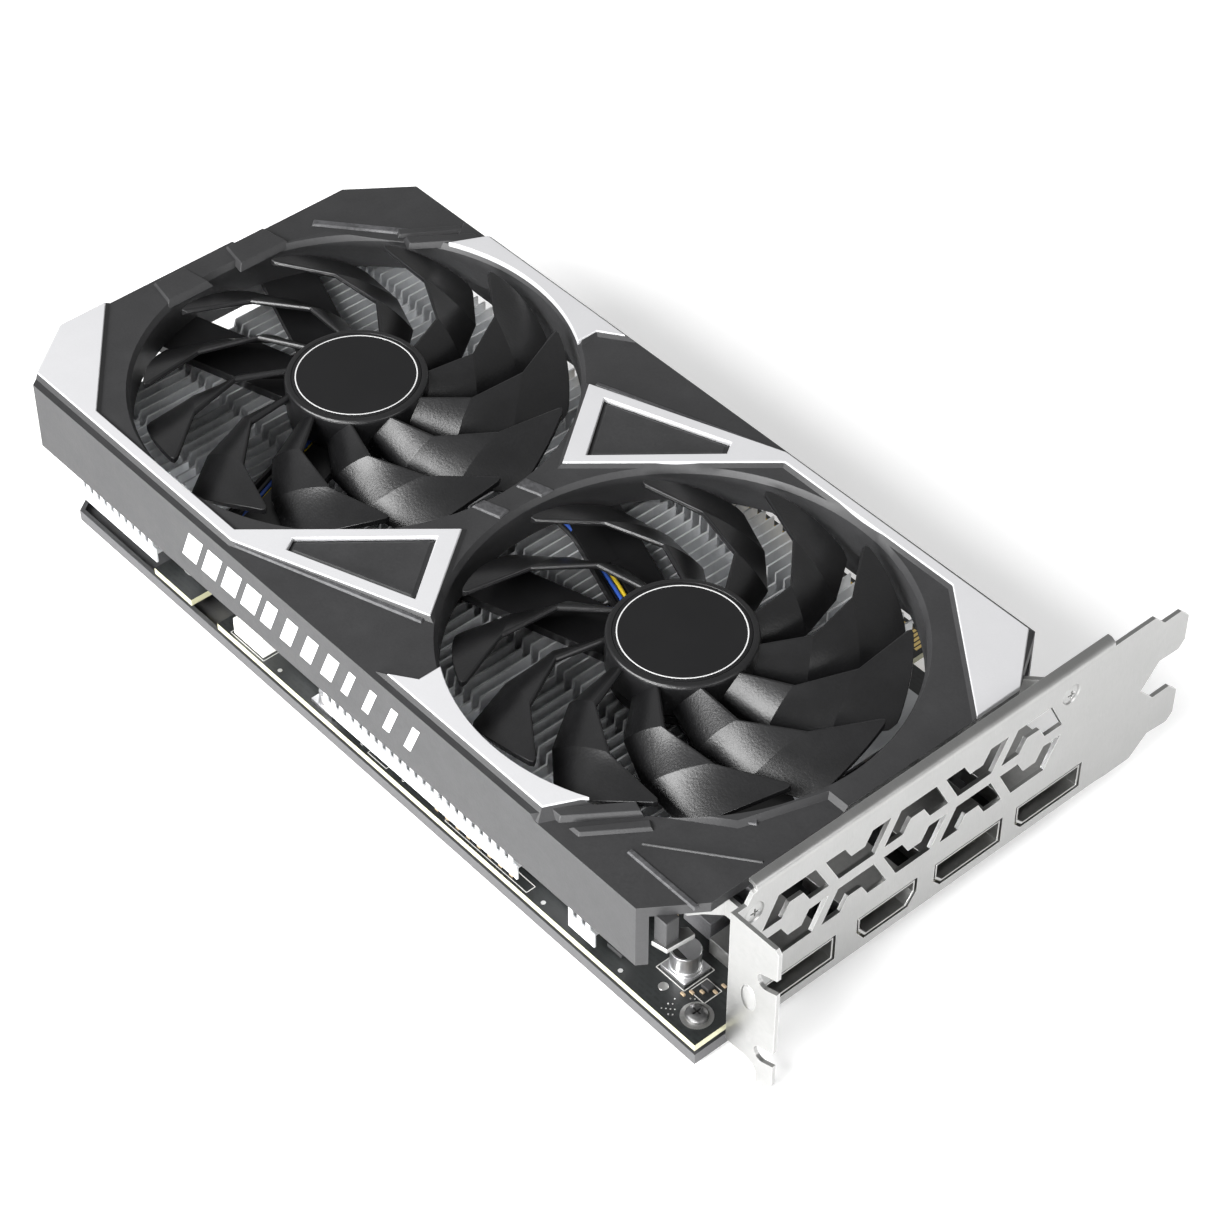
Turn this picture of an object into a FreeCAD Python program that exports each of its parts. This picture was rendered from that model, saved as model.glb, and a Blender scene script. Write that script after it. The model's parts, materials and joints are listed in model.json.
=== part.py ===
"""Dual-fan graphics card: a parametric FreeCAD document, millimetres.

Card coordinates: X = 0 is the outer face of the slot bracket's plate and the card runs towards -X;
Y = 0 is the outer face of the bracket's flange and the edge connector points towards +Y; Z = 0 is the
component side of the circuit board and the fans face +Z.  Every sub-part is drawn in card
coordinates and its Placement moves it to the frame whose origin is the bottom centre of the card.
"""
import FreeCAD
import Part
import Sketcher
import math
import os
from FreeCAD import Placement, Rotation, Vector

doc = FreeCAD.newDocument("GraphicsCard")
dim = doc.addObject("Spreadsheet::Sheet", "dim")

# ---------------------------------------------------------------- driving dimensions
DIMENSIONS = {
    # slot bracket, to the slot standard
    "bracket_length": 120.02, "bracket_sheet": 0.9, "bracket_bottom": 2.38, "flange_depth": 11.43,
    "flange_top": 32.8, "plate_top": 35.1, "lip_radius": 1.6, "lip_width": 0.64,
    "lip_start": 5.5, "lip_end": 98.3, "slot_pitch": 20.32, "tab_depth": 7.2, "tab_inner": 7.25,
    "notch_width": 3.6, "notch_height": 1.05, "notch_inner": 8.9, "notch_slope": 21.0,
    "vent_pitch": 15.35, "vent_first": 15.5,
    "vent_long": 8.3, "vent_short": 4.55, "vent_height": 7.2, "vent_lower": 12.7, "vent_upper": 22.7,
    "key_base": 3.5, "key_top": 1.7, "key_height": 3.1,
    "bracket_screw_near": 5.09, "bracket_screw_far": 86.83, "bracket_screw_level": 29.64,
    "bracket_screw_head": 2.4, "bracket_screw_shank": 1.45,
    # video ports
    "wide_port_width": 18.4, "port_height": 6.9, "port_bottom": -0.1, "narrow_port_width": 15.8,
    "wide_port_one": 17.5, "wide_port_two": 61.8, "wide_port_three": 83.9, "narrow_port_place": 40.1,
    "port_shell_gap": 0.5, "port_shell_wall": 0.4, "port_depth": 15.0, "tongue_thick": 1.1,
    # circuit board and back plate
    "pcb_thick": 1.57, "pcb_near": 6.69, "pcb_far": 92.6, "pcb_right": 1.93, "pcb_rear": 169.2,
    "finger_edge": 100.9, "finger_start": 46.0, "finger_end": 135.0, "key_place": 58.2,
    "key_width": 1.9, "backplate_near": 6.6, "backplate_far": 90.5, "backplate_rear": 203.0,
    "backplate_right": 1.95, "backplate_bottom": 5.59, "backplate_thick": 1.0, "backplate_rim": 2.7,
    # cooler
    "fin_bottom": 4.05, "fin_top": 24.0, "fin_pitch": 2.46, "fin_thick": 0.4, "fin_first": 193.5,
    "fin_near": 7.5, "fin_inner": 1.0, "fin_far": 83.0, "fin_jog": 1.9, "fin_jog_first": 4.0,
    "fin_jog_pitch": 16.5, "fin_skirt": 3.4, "fin_tooth": 1.1, "pipe_radius": 3.0, "pipe_level": 7.4,
    "base_bottom": 3.0, "base_top": 4.0, "gpu_x": 92.0, "gpu_y": 46.0, "gpu_size": 37.5,
    "die_size": 20.0, "gpu_height": 1.2, "die_top": 2.0, "cold_plate_size": 44.0,
    # shroud
    "shroud_rear": 209.8, "shroud_near": 12.44,
    "shroud_bottom": 18.1, "shroud_low": 33.6, "shroud_mid": 34.6, "shroud_rim": 35.25,
    "shroud_skin": 2.4, "trim_top": 35.56, "trim_thick": 1.2, "bevel": 2.1, "centre_x": 107.0,
    "centre_y": 39.45, "opening_radius": 46.5, "duct_wall": 1.8, "duct_bottom": 26.3,
    # fans
    "fan_offset": 50.0, "hub_top": 34.9, "hub_bottom": 27.0, "hub_radius": 14.9, "hub_wall": 1.0,
    "blade_tip": 43.9, "blade_count": 11, "blade_thick": 1.2,
    "frame_bottom": 24.3, "frame_top": 26.3, "frame_radius": 14.5, "arm_width": 12.0,
    "arm_screw": 48.4, "shaft_radius": 1.0, "shaft_gap": 0.03, "bearing_radius": 2.0,
    "bearing_tube": 2.9, "bearing_top": 32.0, "magnet_outer": 13.1, "magnet_inner": 11.9,
    "stator_radius": 11.3, "wire_radius": 0.45, "wire_level": 25.35,
}

# Plan outlines in card coordinates, corner by corner.
OUTLINES = {
    "rim": [(-198.3, -12.44), (-12.0, -12.44), (-4.3, -1.5), (-4.3, 76.1), (-13.0, 90.0),
            (-200.0, 90.0), (-209.8, 77.0), (-209.8, 2.3)],
    "hollow": [(-197.3, -10.5), (-2.0, -10.5), (-2.0, 88.0), (-199.0, 88.0), (-207.7, 76.3),
               (-207.7, 3.0)],
    "fin_room": [(-196.9, -10.1), (-2.0, -10.1), (-2.0, 87.6), (-198.6, 87.6), (-207.3, 76.0),
                 (-207.3, 3.3)],
    "strip": [(-15.0, -2.3), (-9.6, -2.3), (-7.9, 0.2), (-5.2, 2.9), (-2.0, 2.9), (-2.0, 2.2), (-1.0, 2.2),
              (-1.0, 8.0), (-2.0, 8.0), (-2.0, 3.8), (-5.6, 3.8), (-8.6, 0.9), (-10.1, -1.4), (-15.0, -1.4)],
    "trim": [(-209.8, 13.9), (-209.8, 2.3), (-200.2, -10.1), (-133.3, -10.2), (-91.3, 5.7),
             (-106.1, 25.7), (-135.2, -7.9), (-182.2, -7.8)],
    "inlay": [(-107.6, 20.7), (-96.7, 6.4), (-123.9, -3.8), (-125.8, -0.8)],
    "crescent": [(-84.6, -10.2), (-79.5, -6.6), (-79.5, 6.0), (-36.0, 6.0), (-36.0, -2.2),
                 (-39.9, -10.2)],
    "low_panel": [(-39.5, -12.5), (-31.5, 0.5), (-14.0, 14.0), (-8.5, 31.0), (-4.2, 31.0),
                  (-4.2, -1.5), (-12.0, -12.5)],
    "tongue_edge": [(101.0, -2.7), (108.0, -2.7), (112.6, 1.4), (118.4, 0.8), (120.02, 2.6),
                    (120.02, 8.9), (117.4, 11.5), (112.6, 11.5), (108.4, 16.0), (112.9, 21.4),
                    (118.4, 21.1), (120.02, 22.9), (120.02, 29.4), (117.4, 32.0), (112.6, 32.0),
                    (109.6, 35.1)],
}


def fill_sheet():
    """Write every dimension and outline corner as a plain number with a word for its alias."""
    cells = dict(DIMENSIONS)
    for name, corners in OUTLINES.items():
        for number, (u, v) in enumerate(corners):
            cells[f"{name}_u{number}"] = u
            cells[f"{name}_v{number}"] = v
    for row, (alias, number) in enumerate(cells.items(), start=1):
        dim.set(f"A{row}", alias)
        dim.set(f"B{row}", str(number))
        dim.setAlias(f"B{row}", alias)
    doc.recompute()


fill_sheet()
size = {alias: float(getattr(dim, alias)) for alias in DIMENSIONS}


def corners(name):
    """Corner coordinates of an outline, as read from the sheet."""
    count = len(OUTLINES[name])
    return [(float(getattr(dim, f"{name}_u{i}")), float(getattr(dim, f"{name}_v{i}"))) for i in range(count)]


def corner_texts(name):
    """The same corners as expressions bound to the sheet."""
    return [(f"dim.{name}_u{i}", f"dim.{name}_v{i}") for i in range(len(OUTLINES[name]))]


def turned_texts(name):
    """The outline turned half a turn about the shroud's centre."""
    return [(f"-2 * dim.centre_x - {u}", f"2 * dim.centre_y - {v}") for u, v in corner_texts(name)]


def number(text):
    return float(dim.evalExpression(str(text)))


# ---------------------------------------------------------------- building blocks
NODES = {}
PLANES = {"XY": Rotation(), "YZ": Rotation(Vector(1, 1, 1), 120), "XZ": Rotation(Vector(1, 0, 0), 90)}
SHIFT = {
    "x": "(dim.shroud_rear - dim.flange_depth) / 2",
    "y": "(dim.shroud_near - dim.bracket_length) / 2",
    "z": "dim.tab_depth",
}


def node(label, thing):
    """Name a finished sub-part and place it in the card's frame."""
    thing.Label = label
    for axis, text in SHIFT.items():
        thing.setExpression(f"Placement.Base.{axis}", text)
    NODES[label] = thing
    return thing


def bind(thing, **texts):
    for name, text in texts.items():
        thing.setExpression(name, str(text))
    return thing


def place(thing, x="0", y="0", z="0"):
    thing.setExpression("Placement.Base.x", str(x))
    thing.setExpression("Placement.Base.y", str(y))
    thing.setExpression("Placement.Base.z", str(z))
    return thing


def box(name, x, y, z, length, width, height):
    block = doc.addObject("Part::Box", name)
    bind(block, Length=length, Width=width, Height=height)
    return place(block, x, y, z)


def cylinder(name, x, y, z, radius, height):
    rod = doc.addObject("Part::Cylinder", name)
    bind(rod, Radius=radius, Height=height)
    return place(rod, x, y, z)


def cone(name, x, y, z, bottom_radius, top_radius, height):
    taper = doc.addObject("Part::Cone", name)
    bind(taper, Radius1=bottom_radius, Radius2=top_radius, Height=height)
    return place(taper, x, y, z)


def cut(name, base, tool):
    thing = doc.addObject("Part::Cut", name)
    thing.Base = base
    thing.Tool = tool
    return thing


def fuse(name, *shapes):
    thing = doc.addObject("Part::MultiFuse", name)
    thing.Shapes = list(shapes)
    return thing


def group(name, things):
    """Identical or paired pieces that share one node as separate solids."""
    thing = doc.addObject("Part::Compound", name)
    thing.Links = list(things)
    return thing


def hold_point(sketch, item, point, u, v):
    """Hold a point of a sketch's item at distances bound to the sheet."""
    for kind, text in (("DistanceX", u), ("DistanceY", v)):
        row = sketch.addConstraint(Sketcher.Constraint(kind, -1, 1, item, point, number(text)))
        sketch.setExpression(f"Constraints[{row}]", str(text))


def outline_sketch(sketch, points):
    """Draw a closed outline whose corners are held at distances bound to the sheet."""
    first = sketch.GeometryCount
    spots = [Vector(number(u), number(v), 0) for u, v in points]
    count = len(spots)
    for i in range(count):
        sketch.addGeometry(Part.LineSegment(spots[i], spots[(i + 1) % count]), False)
    for i in range(count):
        sketch.addConstraint(Sketcher.Constraint("Coincident", first + i, 2, first + (i + 1) % count, 1))
    for i, (u, v) in enumerate(points):
        hold_point(sketch, first + i, 1, u, v)


def prism(name, plane, points, start, thickness):
    """Extrude an outline drawn in a plane: XY upwards, YZ towards +X, XZ towards -Y."""
    sketch = doc.addObject("Sketcher::SketchObject", name + "_outline")
    outline_sketch(sketch, points)
    sketch.Placement = Placement(Vector(), PLANES[plane])
    along = {"XY": "z", "YZ": "x", "XZ": "y"}[plane]
    sketch.setExpression(f"Placement.Base.{along}", str(start))
    solid = doc.addObject("Part::Extrusion", name)
    solid.Base = sketch
    solid.DirMode = "Normal"
    solid.Solid = True
    solid.setExpression("LengthFwd", str(thickness))
    return solid


def origin_plane(body, role):
    return next(item for item in body.Origin.OriginFeatures if item.Role == role)


def body_sketch(body, name, start):
    sketch = body.newObject("Sketcher::SketchObject", name)
    sketch.AttachmentSupport = [(origin_plane(body, "XY_Plane"), "")]
    sketch.MapMode = "FlatFace"
    sketch.setExpression("AttachmentOffset.Base.z", str(start))
    return sketch


def pad_body(name, points, start, thickness):
    """A moulded or milled plate: a body with one padded outline."""
    body = doc.addObject("PartDesign::Body", name)
    sketch = body_sketch(body, name + "_outline", start)
    outline_sketch(sketch, points)
    pad = body.newObject("PartDesign::Pad", name + "_pad")
    pad.Profile = sketch
    pad.setExpression("Length", str(thickness))
    doc.recompute()
    return body


def pocket(body, name, start, depth, outlines=(), circles=()):
    """Cut outlines and circles downwards from a level, and check that material went."""
    sketch = body_sketch(body, name + "_outline", start)
    for points in outlines:
        outline_sketch(sketch, points)
    for x, y, radius in circles:
        ring = Part.Circle(Vector(number(x), number(y), 0), Vector(0, 0, 1), number(radius))
        circle = sketch.addGeometry(ring, False)
        hold_point(sketch, circle, 3, x, y)
        row = sketch.addConstraint(Sketcher.Constraint("Radius", circle, number(radius)))
        sketch.setExpression(f"Constraints[{row}]", str(radius))
    before = body.Shape.Volume
    feature = body.newObject("PartDesign::Pocket", name)
    feature.Profile = sketch
    feature.setExpression("Length", str(depth))
    doc.recompute()
    if body.Shape.Volume >= before - 0.01:
        raise RuntimeError(name + " cuts nothing")
    return feature


def shaped(name, shape):
    """A sub-part whose form needs Part's own functions."""
    thing = doc.addObject("Part::Feature", name)
    thing.Shape = shape
    return thing


def flat_wire(points, level):
    spots = [Vector(x, y, level) for x, y in points]
    return Part.makePolygon(spots + [spots[0]])


def slab(points, low, high):
    return Part.Face(flat_wire(points, low)).extrude(Vector(0, 0, high - low))


def bevelled(points, low, high, spread):
    """A raised island whose sides lean out by spread towards its foot."""
    top = flat_wire(points, high)
    foot = flat_wire(points, low).makeOffset2D(spread, 2, False, False, True)
    return Part.makeLoft([foot, top], True, True)


def half_turn(points):
    return [(-2 * size["centre_x"] - x, 2 * size["centre_y"] - y) for x, y in points]


FAN_X = {"front": -size["centre_x"] + size["fan_offset"], "rear": -size["centre_x"] - size["fan_offset"]}
FAN_TEXT = {"front": "-dim.centre_x + dim.fan_offset", "rear": "-dim.centre_x - dim.fan_offset"}
FAN_Y = size["centre_y"]
ARM_ANGLES = {"front": (160.7, 197.0, 340.0), "rear": (160.7, 197.0, 290.0)}


def polar(x, y, radius, angle):
    turn = math.radians(angle)
    return x + radius * math.cos(turn), y + radius * math.sin(turn)


# ---------------------------------------------------------------- shroud and its trims
def build_shroud():
    low, mid, rim = size["shroud_low"], size["shroud_mid"], size["shroud_rim"]
    outer = slab(corners("rim"), size["shroud_bottom"], low)
    whole = slab(corners("rim"), size["shroud_bottom"], rim + 1)
    raised = slab(corners("rim"), low, mid)
    for panel in (corners("low_panel"), half_turn(corners("low_panel"))):
        raised = raised.cut(bevelled(panel, mid + 0.01, low, 1.0))
    islands = []
    for name in ("trim", "crescent"):
        for points in (corners(name), half_turn(corners(name))):
            islands.append(bevelled(points, low, rim, size["bevel"]).common(whole))
    hollow = slab(corners("hollow"), size["shroud_bottom"] - 1, low - size["shroud_skin"])
    shell = outer.fuse([raised] + islands).cut(hollow)
    height = low - size["duct_bottom"]
    for side, x in FAN_X.items():
        centre = Vector(x, FAN_Y, size["duct_bottom"])
        shell = shell.fuse(Part.makeCylinder(size["opening_radius"] + size["duct_wall"], height, centre))
        for angle in ARM_ANGLES[side]:
            spot = Vector(*polar(x, FAN_Y, size["arm_screw"], angle), size["duct_bottom"])
            shell = shell.fuse(Part.makeCylinder(2.1, height, spot))
    for side, x in FAN_X.items():
        foot = Vector(x, FAN_Y, size["duct_bottom"] - 1)
        shell = shell.cut(Part.makeCylinder(size["opening_radius"], 20, foot))
        edge = Vector(x, FAN_Y, low - 0.4)
        rim = size["opening_radius"]
        shell = shell.cut(Part.makeCone(rim - 0.1, rim + 1.4, 2.4, edge))
        for angle in ARM_ANGLES[side]:
            spot = Vector(*polar(x, FAN_Y, size["arm_screw"], angle), size["duct_bottom"] - 1)
            shell = shell.cut(Part.makeCylinder(0.95, 5.2, spot))
    seat = size["trim_top"] - size["trim_thick"]
    for name in ("trim", "crescent"):
        for points in (corners(name), half_turn(corners(name))):
            shell = shell.cut(slab(points, seat, rim + 2))
    posts = []
    for x, y in SHROUD_POSTS:
        posts.append(Part.makeCylinder(2.6, low - 1 - size["fin_top"], Vector(x, y, size["fin_top"])))
    shell = shell.fuse(posts)
    for x, y in SHROUD_POSTS:
        shell = shell.cut(Part.makeCylinder(1.0, 7, Vector(x, y, size["fin_top"] - 1)))
    node("shroud", shaped("Shroud", shell.removeSplitter()))


SHROUD_POSTS = ((-107.0, 81.0), (-107.0, -2.5))


def build_trims():
    seat = "dim.trim_top - dim.trim_thick"
    for label, texts in (("near_trim", corner_texts), ("far_trim", turned_texts)):
        trim = pad_body(label.title(), texts("trim"), seat, "dim.trim_thick")
        pocket(trim, label + "_window", "dim.trim_top", "dim.trim_thick + 1", outlines=[texts("inlay")])
        node(label, trim)
    crescents = []
    for side, texts in (("near", corner_texts), ("far", turned_texts)):
        blank = prism(side + "_crescent_blank", "XY", texts("crescent"), seat, "dim.trim_thick")
        x = FAN_TEXT["front"] if side == "near" else FAN_TEXT["rear"]
        hole = cylinder(side + "_crescent_hole", x, "dim.centre_y", "dim.trim_top - 5",
                        "dim.opening_radius + 0.15", "9")
        crescents.append(cut(side + "_crescent", blank, hole))
    node("crescent_trims", group("Crescents", crescents))
    inlays = []
    for points in (corners("inlay"), half_turn(corners("inlay"))):
        foot = flat_wire(points, size["trim_top"] - size["trim_thick"])
        top = flat_wire(points, size["trim_top"] - 0.55).makeOffset2D(-1.1, 2, False, False, True)
        inlays.append(Part.makeLoft([foot, top], True, True))
    node("triangle_inlays", shaped("Inlays", Part.makeCompound(inlays)))


# ---------------------------------------------------------------- fans
def blade_section(radius, high_angle, low_angle, high, low):
    """One flat section of a cambered blade, between two places on a circle: six corners."""
    thick = size["blade_thick"]
    first = Vector(*polar(0, 0, radius, high_angle), high)
    last = Vector(*polar(0, 0, radius, low_angle), low)
    chord = last - first
    level_run = Vector(chord.x, chord.y, 0)
    level_run.normalize()
    out = level_run.cross(Vector(0, 0, 1))
    up = out.cross(chord)
    up.normalize()
    if up.z < 0:
        up = up * -1
    middle = first + chord * 0.5 + up * chord.Length * BLADE_CAMBER
    upper = [first, middle, last]
    lower = [last - up * thick * 0.5, middle - up * thick, first - up * thick]
    return Part.makePolygon(upper + lower + [first])


BLADE_CAMBER = 0.07
BLADE_STATIONS = (
    # radius, angle of the high edge, angle of the low edge, level of the high edge, level of the low edge
    (14.3, -1.0, -23.0, 34.5, 28.2),
    (24.9, 10.2, -8.0, 34.6, 28.0),
    (34.3, 28.2, 6.0, 34.6, 27.6),
    (47.0, 50.1, 21.4, 34.6, 27.5),
)
ROOT_ANGLE = {"front": 103.2, "rear": 187.0}


def build_impeller(side):
    x = FAN_X[side]
    blade = Part.makeLoft([blade_section(*station) for station in BLADE_STATIONS], True, True)
    blade.rotate(Vector(), Vector(0, 0, 1), ROOT_ANGLE[side])
    blade = blade.common(Part.makeCylinder(size["blade_tip"], 12, Vector(0, 0, size["frame_top"])))
    hub_top, hub_bottom, hub_radius = size["hub_top"], size["hub_bottom"], size["hub_radius"]
    hub = Part.makeCylinder(hub_radius, hub_top - hub_bottom, Vector(0, 0, hub_bottom))
    rim_edges = [e for e in hub.Edges if abs(e.CenterOfMass.z - hub_top) < 0.01]
    hub = hub.makeChamfer(0.7, rim_edges)
    core = hub_radius - size["hub_wall"]
    inside = Part.makeCylinder(core, hub_top - 1.3 - hub_bottom + 1, Vector(0, 0, hub_bottom - 1))
    step = 360 / size["blade_count"]
    blades = []
    for turn in range(int(size["blade_count"])):
        copy = blade.copy()
        copy.rotate(Vector(), Vector(0, 0, 1), turn * step)
        blades.append(copy)
    wheel = hub.fuse(blades).cut(inside)
    boss = Part.makeCylinder(2.4, 1.4, Vector(0, 0, hub_top - 2.6))
    wheel = wheel.fuse(boss)
    wheel = wheel.cut(Part.makeCylinder(13.5, 1, Vector(0, 0, hub_top - 0.25)))
    wheel = wheel.cut(Part.makeCylinder(size["shaft_radius"], 4, Vector(0, 0, hub_top - 4.6)))
    wheel.translate(Vector(x, FAN_Y, 0))
    node(side + "_impeller", shaped(side.title() + "Impeller", Part.makeCompound([wheel])))


def tube(name, x, y, z, outer, inner, height):
    return cut(name, cylinder(name + "_outer", x, y, z, outer, height),
               cylinder(name + "_bore", x, y, f"{z} - 1", inner, f"{height} + 2"))


def build_rotor_parts(side):
    x, y = FAN_TEXT[side], "dim.centre_y"
    disc = cylinder(side + "_disc", x, y, "dim.hub_top - 0.25", "13.4", "0.2")
    node(side + "_hub_disc", group(side + "_hub_disc_node", [disc]))
    shaft = cylinder(side + "_shaft", x, y, "dim.frame_top + 0.5", "dim.shaft_radius",
                     "dim.hub_top - dim.frame_top - 1.1")
    node(side + "_rotor_shaft", group(side + "_shaft_node", [shaft]))
    yoke = tube(side + "_yoke", x, y, "dim.hub_bottom + 0.4", "dim.hub_radius - dim.hub_wall",
                "dim.magnet_outer", "6.2")
    node(side + "_rotor_yoke", yoke)
    magnet = tube(side + "_magnet", x, y, "dim.hub_bottom + 0.6", "dim.magnet_outer",
                  "dim.magnet_inner", "5.0")
    node(side + "_magnet_ring", magnet)


def build_fan_frame(side):
    x, y = FAN_X[side], FAN_Y
    low, high = size["frame_bottom"], size["frame_top"]
    frame = Part.makeCylinder(size["frame_radius"], high - low, Vector(x, y, low))
    width = size["arm_width"]
    reach = size["arm_screw"]
    for angle in ARM_ANGLES[side]:
        arm = Part.makeBox(reach, width, high - low, Vector(0, -width / 2, 0))
        arm = arm.fuse(Part.makeCylinder(3.0, high - low, Vector(reach, 0, 0)))
        arm.rotate(Vector(), Vector(0, 0, 1), angle)
        arm.translate(Vector(x, y, low))
        frame = frame.fuse(arm)
    groove = Part.makeBox(60, 3.3, 1.5, Vector(10.9, 2.0, high - 1.5))
    mouth = Part.makeBox(20, 5.5, 4, Vector(42.5, 2.0, low - 1))
    groove = groove.fuse(mouth)
    if LEAD_SIDE[side] < 0:
        groove = groove.mirror(Vector(), Vector(0, 1, 0))
    groove.rotate(Vector(), Vector(0, 0, 1), WIRE_ARM[side])
    groove.translate(Vector(x, y, 0))
    frame = frame.cut(groove)
    tube_height = size["bearing_top"] - 0.4 - high
    frame = frame.fuse(Part.makeCylinder(size["bearing_tube"], tube_height + 0.5, Vector(x, y, high - 0.5)))
    frame = frame.cut(Part.makeCylinder(size["bearing_radius"], tube_height + 3, Vector(x, y, high)))
    for angle in ARM_ANGLES[side]:
        spot = polar(x, y, reach, angle)
        frame = frame.cut(Part.makeCylinder(0.95, 4, Vector(*spot, low - 1)))
        frame = frame.cut(Part.makeCylinder(1.9, 1.1, Vector(*spot, low)))
    node(side + "_fan_frame", shaped(side.title() + "FanFrame", frame.removeSplitter()))


WIRE_ARM = {"front": 160.7, "rear": 290.0}


def fan_inner(side):
    """The still pieces inside one motor: its sleeve, its board, its stator core and its coils."""
    x, y = FAN_TEXT[side], "dim.centre_y"
    bearing = tube(side + "_bearing", x, y, "dim.frame_top", "dim.bearing_radius",
                   "dim.shaft_radius + dim.shaft_gap",
                   "dim.bearing_top - dim.frame_top")
    board = tube(side + "_board", x, y, "dim.frame_top", "10.8", "dim.bearing_tube + 0.05", "0.8")
    core = Part.makeCylinder(5.4, 4.0, Vector(0, 0, 27.7))
    for pole in range(4):
        neck = Part.makeBox(9.0, 3.0, 3.4, Vector(0, -1.5, 28.0))
        shoe = Part.makeCylinder(size["stator_radius"], 3.4, Vector(0, 0, 28.0), Vector(0, 0, 1), 70)
        shoe = shoe.cut(Part.makeCylinder(9.0, 5, Vector(0, 0, 27)))
        shoe.rotate(Vector(), Vector(0, 0, 1), -35)
        pole_shape = neck.fuse(shoe)
        pole_shape.rotate(Vector(), Vector(0, 0, 1), pole * 90)
        core = core.fuse(pole_shape)
    core = core.cut(Part.makeCylinder(size["bearing_tube"] + 0.05, 9, Vector(0, 0, 26)))
    core.translate(Vector(FAN_X[side], FAN_Y, 0))
    coils = []
    for pole in range(4):
        coil = Part.makeBox(2.6, 5.4, 4.6, Vector(6.0, -2.7, 27.35))
        coil = coil.cut(Part.makeBox(4, 3.0, 3.4, Vector(5.5, -1.5, 28.0)))
        coil.rotate(Vector(), Vector(0, 0, 1), pole * 90)
        coil.translate(Vector(FAN_X[side], FAN_Y, 0))
        coils.append(coil)
    return bearing, board, core.removeSplitter(), coils


def build_fan_inner():
    sleeves, boards, cores, coils = zip(*[fan_inner(side) for side in FAN_X])
    node("bearing_sleeves", group("Sleeves", sleeves))
    node("fan_boards", group("FanBoards", boards))
    node("stator_cores", shaped("Cores", Part.makeCompound(cores)))
    node("stator_coils", shaped("Coils", Part.makeCompound([coil for row in coils for coil in row])))


def pan_screw(name, x, y, top, head_radius, head_height, shank_radius, length, up=True):
    """A screw along Z whose head sits on a level; up means that the head is above its shank."""
    if up:
        head = cylinder(name + "_head", x, y, top, head_radius, head_height)
        shank = cylinder(name + "_shank", x, y, f"{top} - {length}", shank_radius, f"{length} + 0.2")
        recess = cylinder(name + "_recess", x, y, f"{top} + {head_height} - 0.6",
                          f"{head_radius} * 0.45", "1")
    else:
        head = cylinder(name + "_head", x, y, f"{top} - {head_height}", head_radius, head_height)
        shank = cylinder(name + "_shank", x, y, f"{top} - 0.2", shank_radius, f"{length} + 0.2")
        recess = cylinder(name + "_recess", x, y, f"{top} - {head_height} - 0.4",
                          f"{head_radius} * 0.45", "1")
    return cut(name, fuse(name + "_blank", head, shank), recess)


def build_fan_screws():
    screws = []
    for side in FAN_X:
        for angle in ARM_ANGLES[side]:
            x, y = polar(FAN_X[side], FAN_Y, size["arm_screw"], angle)
            name = f"{side}_fan_screw_{int(angle)}"
            screws.append(pan_screw(name, x, y, "dim.frame_bottom + 1.1",
                                    "1.85", "1.1", "0.95", "5.0", up=False))
    node("fan_frame_screws", group("FanScrews", screws))


def rounded_route(points):
    """Straight runs joined by tangent arcs, each arc as large as its two runs allow."""
    spots = [Vector(*p) for p in points]
    edges = []
    start = spots[0]
    for i in range(1, len(spots) - 1):
        before = spots[i - 1] - spots[i]
        after = spots[i + 1] - spots[i]
        run = min(before.Length, after.Length)
        turn = math.pi - before.getAngle(after)
        radius = 0.45 * run / math.tan(turn / 2)
        cut_back = 0.45 * run
        before.normalize()
        after.normalize()
        enter = spots[i] + before * cut_back
        leave = spots[i] + after * cut_back
        towards = before + after
        towards.normalize()
        centre = spots[i] + towards * math.hypot(radius, cut_back)
        middle = centre - towards * radius
        edges.append(Part.LineSegment(start, enter).toShape())
        edges.append(Part.Arc(enter, middle, leave).toShape())
        print("bend radius %.2f" % radius)
        start = leave
    edges.append(Part.LineSegment(start, spots[-1]).toShape())
    return Part.Wire(edges)


def wire_solid(points, radius):
    route = rounded_route(points)
    heading = Vector(*points[1]) - Vector(*points[0])
    ring = Part.Wire([Part.makeCircle(radius, Vector(*points[0]), heading)])
    solid = route.makePipeShell([ring], True, False)
    ratio = solid.Volume / (math.pi * radius ** 2 * route.Length)
    if not 0.97 < ratio < 1.03:
        raise RuntimeError("a lead's volume is off: %.3f" % ratio)
    return solid


LEAD_ROUTES = {
    # x, y, z of the first lead's points after its arm, and the step from one lead to the next
    "front": (((-108.0, 40.0, 29.2), (1.0, 0.0, -1.05)), ((-108.0, 22.0, 29.2), (1.0, 0.0, -1.05)),
              ((-111.5, 8.0, 29.2), (1.0, -1.0, -1.05)), ((-124.0, -1.0, 29.0), (1.1, -1.0, -1.05)),
              ((-137.2, -5.7, 26.2), (1.3, -0.4, -1.0)), ((-137.2, -6.4, 15.0), (1.3, 0.0, 0.0)),
              ((-137.2, -3.2, 8.6), (1.3, 0.0, 0.0)), ((-137.2, -3.2, 4.9), (1.3, 0.0, 0.0))),
    "rear": (((-143.1, -7.4, 17.5), (-1.05, 0.0, 0.0)), ((-139.0, -3.2, 9.0), (-1.3, 0.0, 0.0)),
             ((-139.0, -3.2, 4.9), (-1.3, 0.0, 0.0))),
}
LEAD_SIDE = {"front": 1, "rear": -1}
LEADS_IN_ROW = 3
LEAD_FIRST = 2.5
LEAD_PITCH = 1.05
LEAD_START = 11.6
LEAD_REACH = {"front": 53.1, "rear": 47.5}
LEAD_STEP = {"front": 1.4, "rear": 0.0}


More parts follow.
